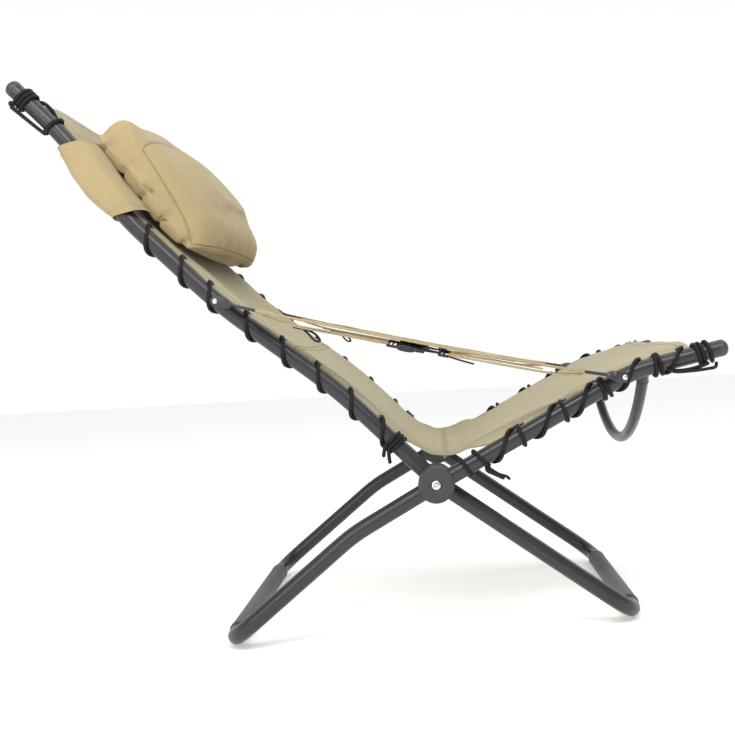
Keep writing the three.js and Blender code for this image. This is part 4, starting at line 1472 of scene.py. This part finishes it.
def inflate(obj, count):
    """Fills the cover with pressure while its seams pull in, then keeps the result."""
    rest = [v.co.copy() for v in obj.data.vertices]
    held = obj.vertex_groups.new(name="held")
    base = [v.index for v in obj.data.vertices
            if HEAD_OUT.dot((v.co - HUB) / MM - HEAD_BASE) < 46 and v.index % count]
    held.add(base, 1.0, "REPLACE")
    cloth = obj.modifiers.new("cloth", "CLOTH")
    settings = cloth.settings
    settings.quality = 6
    settings.mass = 0.25
    settings.tension_stiffness = 18
    settings.compression_stiffness = 12
    settings.shear_stiffness = 6
    settings.bending_stiffness = 0.4
    settings.use_pressure = True
    settings.uniform_pressure_force = 5
    settings.effector_weights.gravity = 0
    settings.vertex_group_mass = "held"
    settings.pin_stiffness = 1
    settings.vertex_group_shrink = "seams"
    settings.shrink_min = -0.015
    settings.shrink_max = 0.1
    cloth.collision_settings.use_collision = False
    cloth.point_cache.frame_start = 1
    cloth.point_cache.frame_end = FILL_FRAMES
    for step in range(1, FILL_FRAMES + 1):
        bpy.context.scene.frame_set(step)
    graph = bpy.context.evaluated_depsgraph_get()
    done = obj.evaluated_get(graph).data
    places = []
    for old, vertex in zip(rest, done.vertices):
        move = vertex.co - old
        if move.length > FILL_LIMIT:
            move = move.normalized() * FILL_LIMIT
        places.append(old + move)
    obj.modifiers.clear()
    bpy.context.scene.frame_set(1)
    obj.data.vertices.foreach_set("co", [c for p in places for c in p])
    obj.data.update()


def refine(obj):
    obj.modifiers.new("smooth", "SUBSURF").levels = 2
    apply_modifiers(obj)


def gather(obj):
    """Sinks the seams, and adds gathers into the foot seam, creases off the base and wrinkles."""
    mesh = obj.data
    seams = obj.vertex_groups["seams"].index
    sewn = [sum(g.weight for g in v.groups if g.group == seams) for v in mesh.vertices]
    normals = [v.normal.copy() for v in mesh.vertices]
    for vertex, normal, depth in zip(mesh.vertices, normals, sewn):
        at = (vertex.co - HUB) / MM
        y = at.y
        rel = at - HEAD_BASE
        up, out = rel.dot(HEAD_UP), rel.dot(HEAD_OUT)
        foot = smoothstep(-up, 70, 150) * smoothstep(out, 55, 95)
        pleat = math.sin(y / 2.3 + 2.2 * noise.noise(Vector((y / 30, up / 30, 0)))) * 2.4
        pleat *= foot * (0.55 + 0.45 * noise.noise(Vector((y / 22, 7, 0))))
        end = smoothstep(abs(y), PILLOW_HALF - 26, PILLOW_HALF - 4)
        lower = smoothstep(70 - out, 0, 26)
        fold = math.sin(up / 8.5 + 1.4 * noise.noise(Vector((up / 40, y / 60, 2))))
        crease = -5.5 * end * lower * max(0, fold) ** 4
        soft = 1.5 * noise.noise(Vector((up / 55, out / 45, y / 75)))
        soft += 1.0 * noise.noise(Vector((up / 24, out / 20, y / 38)))
        vertex.co += normal * (pleat + crease + soft - SEAM_DEPTH * depth ** 3) * MM
    mesh.update()
    mesh.shade_smooth()


# --- Camera, floor and light ---
CAMERA_AT = (0.1128, -2.159, 0.495)
CAMERA_ROLL = -3.2
CAMERA_LENS = 54.612245
CAMERA_SHIFT = (-0.095918367, -0.0360544218)


def camera():
    data = bpy.data.cameras.new("camera")
    data.sensor_width = 36
    data.lens = CAMERA_LENS
    data.shift_x, data.shift_y = CAMERA_SHIFT
    obj = placed("camera", data)
    facing = Matrix.Rotation(math.pi / 2, 4, "X")
    roll = Matrix.Rotation(math.radians(CAMERA_ROLL), 4, "Z")
    obj.matrix_world = Matrix.Translation(CAMERA_AT) @ facing @ roll
    bpy.context.scene.camera = obj


def area_light(name, place, aim, size, power, color=(1, 1, 1)):
    data = bpy.data.lights.new(name, "AREA")
    data.shape = "RECTANGLE"
    data.size, data.size_y = size
    data.energy = power
    data.color = color
    obj = placed(name, data)
    obj.location = place
    obj.rotation_euler = (Vector(aim) - Vector(place)).to_track_quat("-Z", "Y").to_euler()


def sky():
    """A soft surround that is brightest behind the object."""
    world = bpy.data.worlds.new("studio")
    world.use_nodes = True
    nodes, links = world.node_tree.nodes, world.node_tree.links
    split = nodes.new("ShaderNodeSeparateXYZ")
    links.new(nodes.new("ShaderNodeTexCoord").outputs["Generated"], split.inputs[0])
    ramp = nodes.new("ShaderNodeMapRange")
    links.new(split.outputs["Y"], ramp.inputs[0])
    for k, value in enumerate((-0.1, 0.75, 0.52, 1.0), 1):
        ramp.inputs[k].default_value = value
    background = nodes["Background"]
    background.inputs["Color"].default_value = (1.0, 1.0, 1.0, 1)
    links.new(ramp.outputs[0], background.inputs["Strength"])
    bpy.context.scene.world = world


def floor():
    """A wide pale floor that glows faintly."""
    wide = 9.0
    mesh = bpy.data.meshes.new("floor")
    mesh.from_pydata([(-wide, -wide, 0), (wide, -wide, 0), (wide, wide, 0), (-wide, wide, 0)],
                     [], [(0, 1, 2, 3)])
    glow = {"Emission Color": (1, 1, 1, 1), "Emission Strength": 0.3}
    p = Paint("floor_paint", (0.9, 0.9, 0.9), Roughness=0.9, **glow)
    tone = p.blend(p.noise(p.place(), 2, 3), (0.88, 0.88, 0.88), (0.92, 0.92, 0.92))
    p.set(p.shader, {"Base Color": tone})
    obj = placed("floor", mesh)
    mesh.materials.append(p.material)


def studio():
    floor()
    sky()
    aim = (-0.05, 0, 0.45)
    area_light("strip", (0.0, -2.3, 2.7), aim, (3.4, 0.7), 78, (1.0, 0.99, 0.965))
    area_light("key", (-1.9, -2.7, 1.5), aim, (1.4, 1.4), 26, (1.0, 0.985, 0.95))
    area_light("top", (0.3, 0.5, 3.2), aim, (2.4, 1.2), 16)
    area_light("rim", (1.9, 1.6, 1.8), aim, (1.2, 1.0), 10)
    bpy.context.scene.view_settings.view_transform = "Standard"


camera()
studio()
rails()
legs()
bow_bar()
back_bar()
hubs()
sling(lacing())
arms()
sleeve()
pillow()
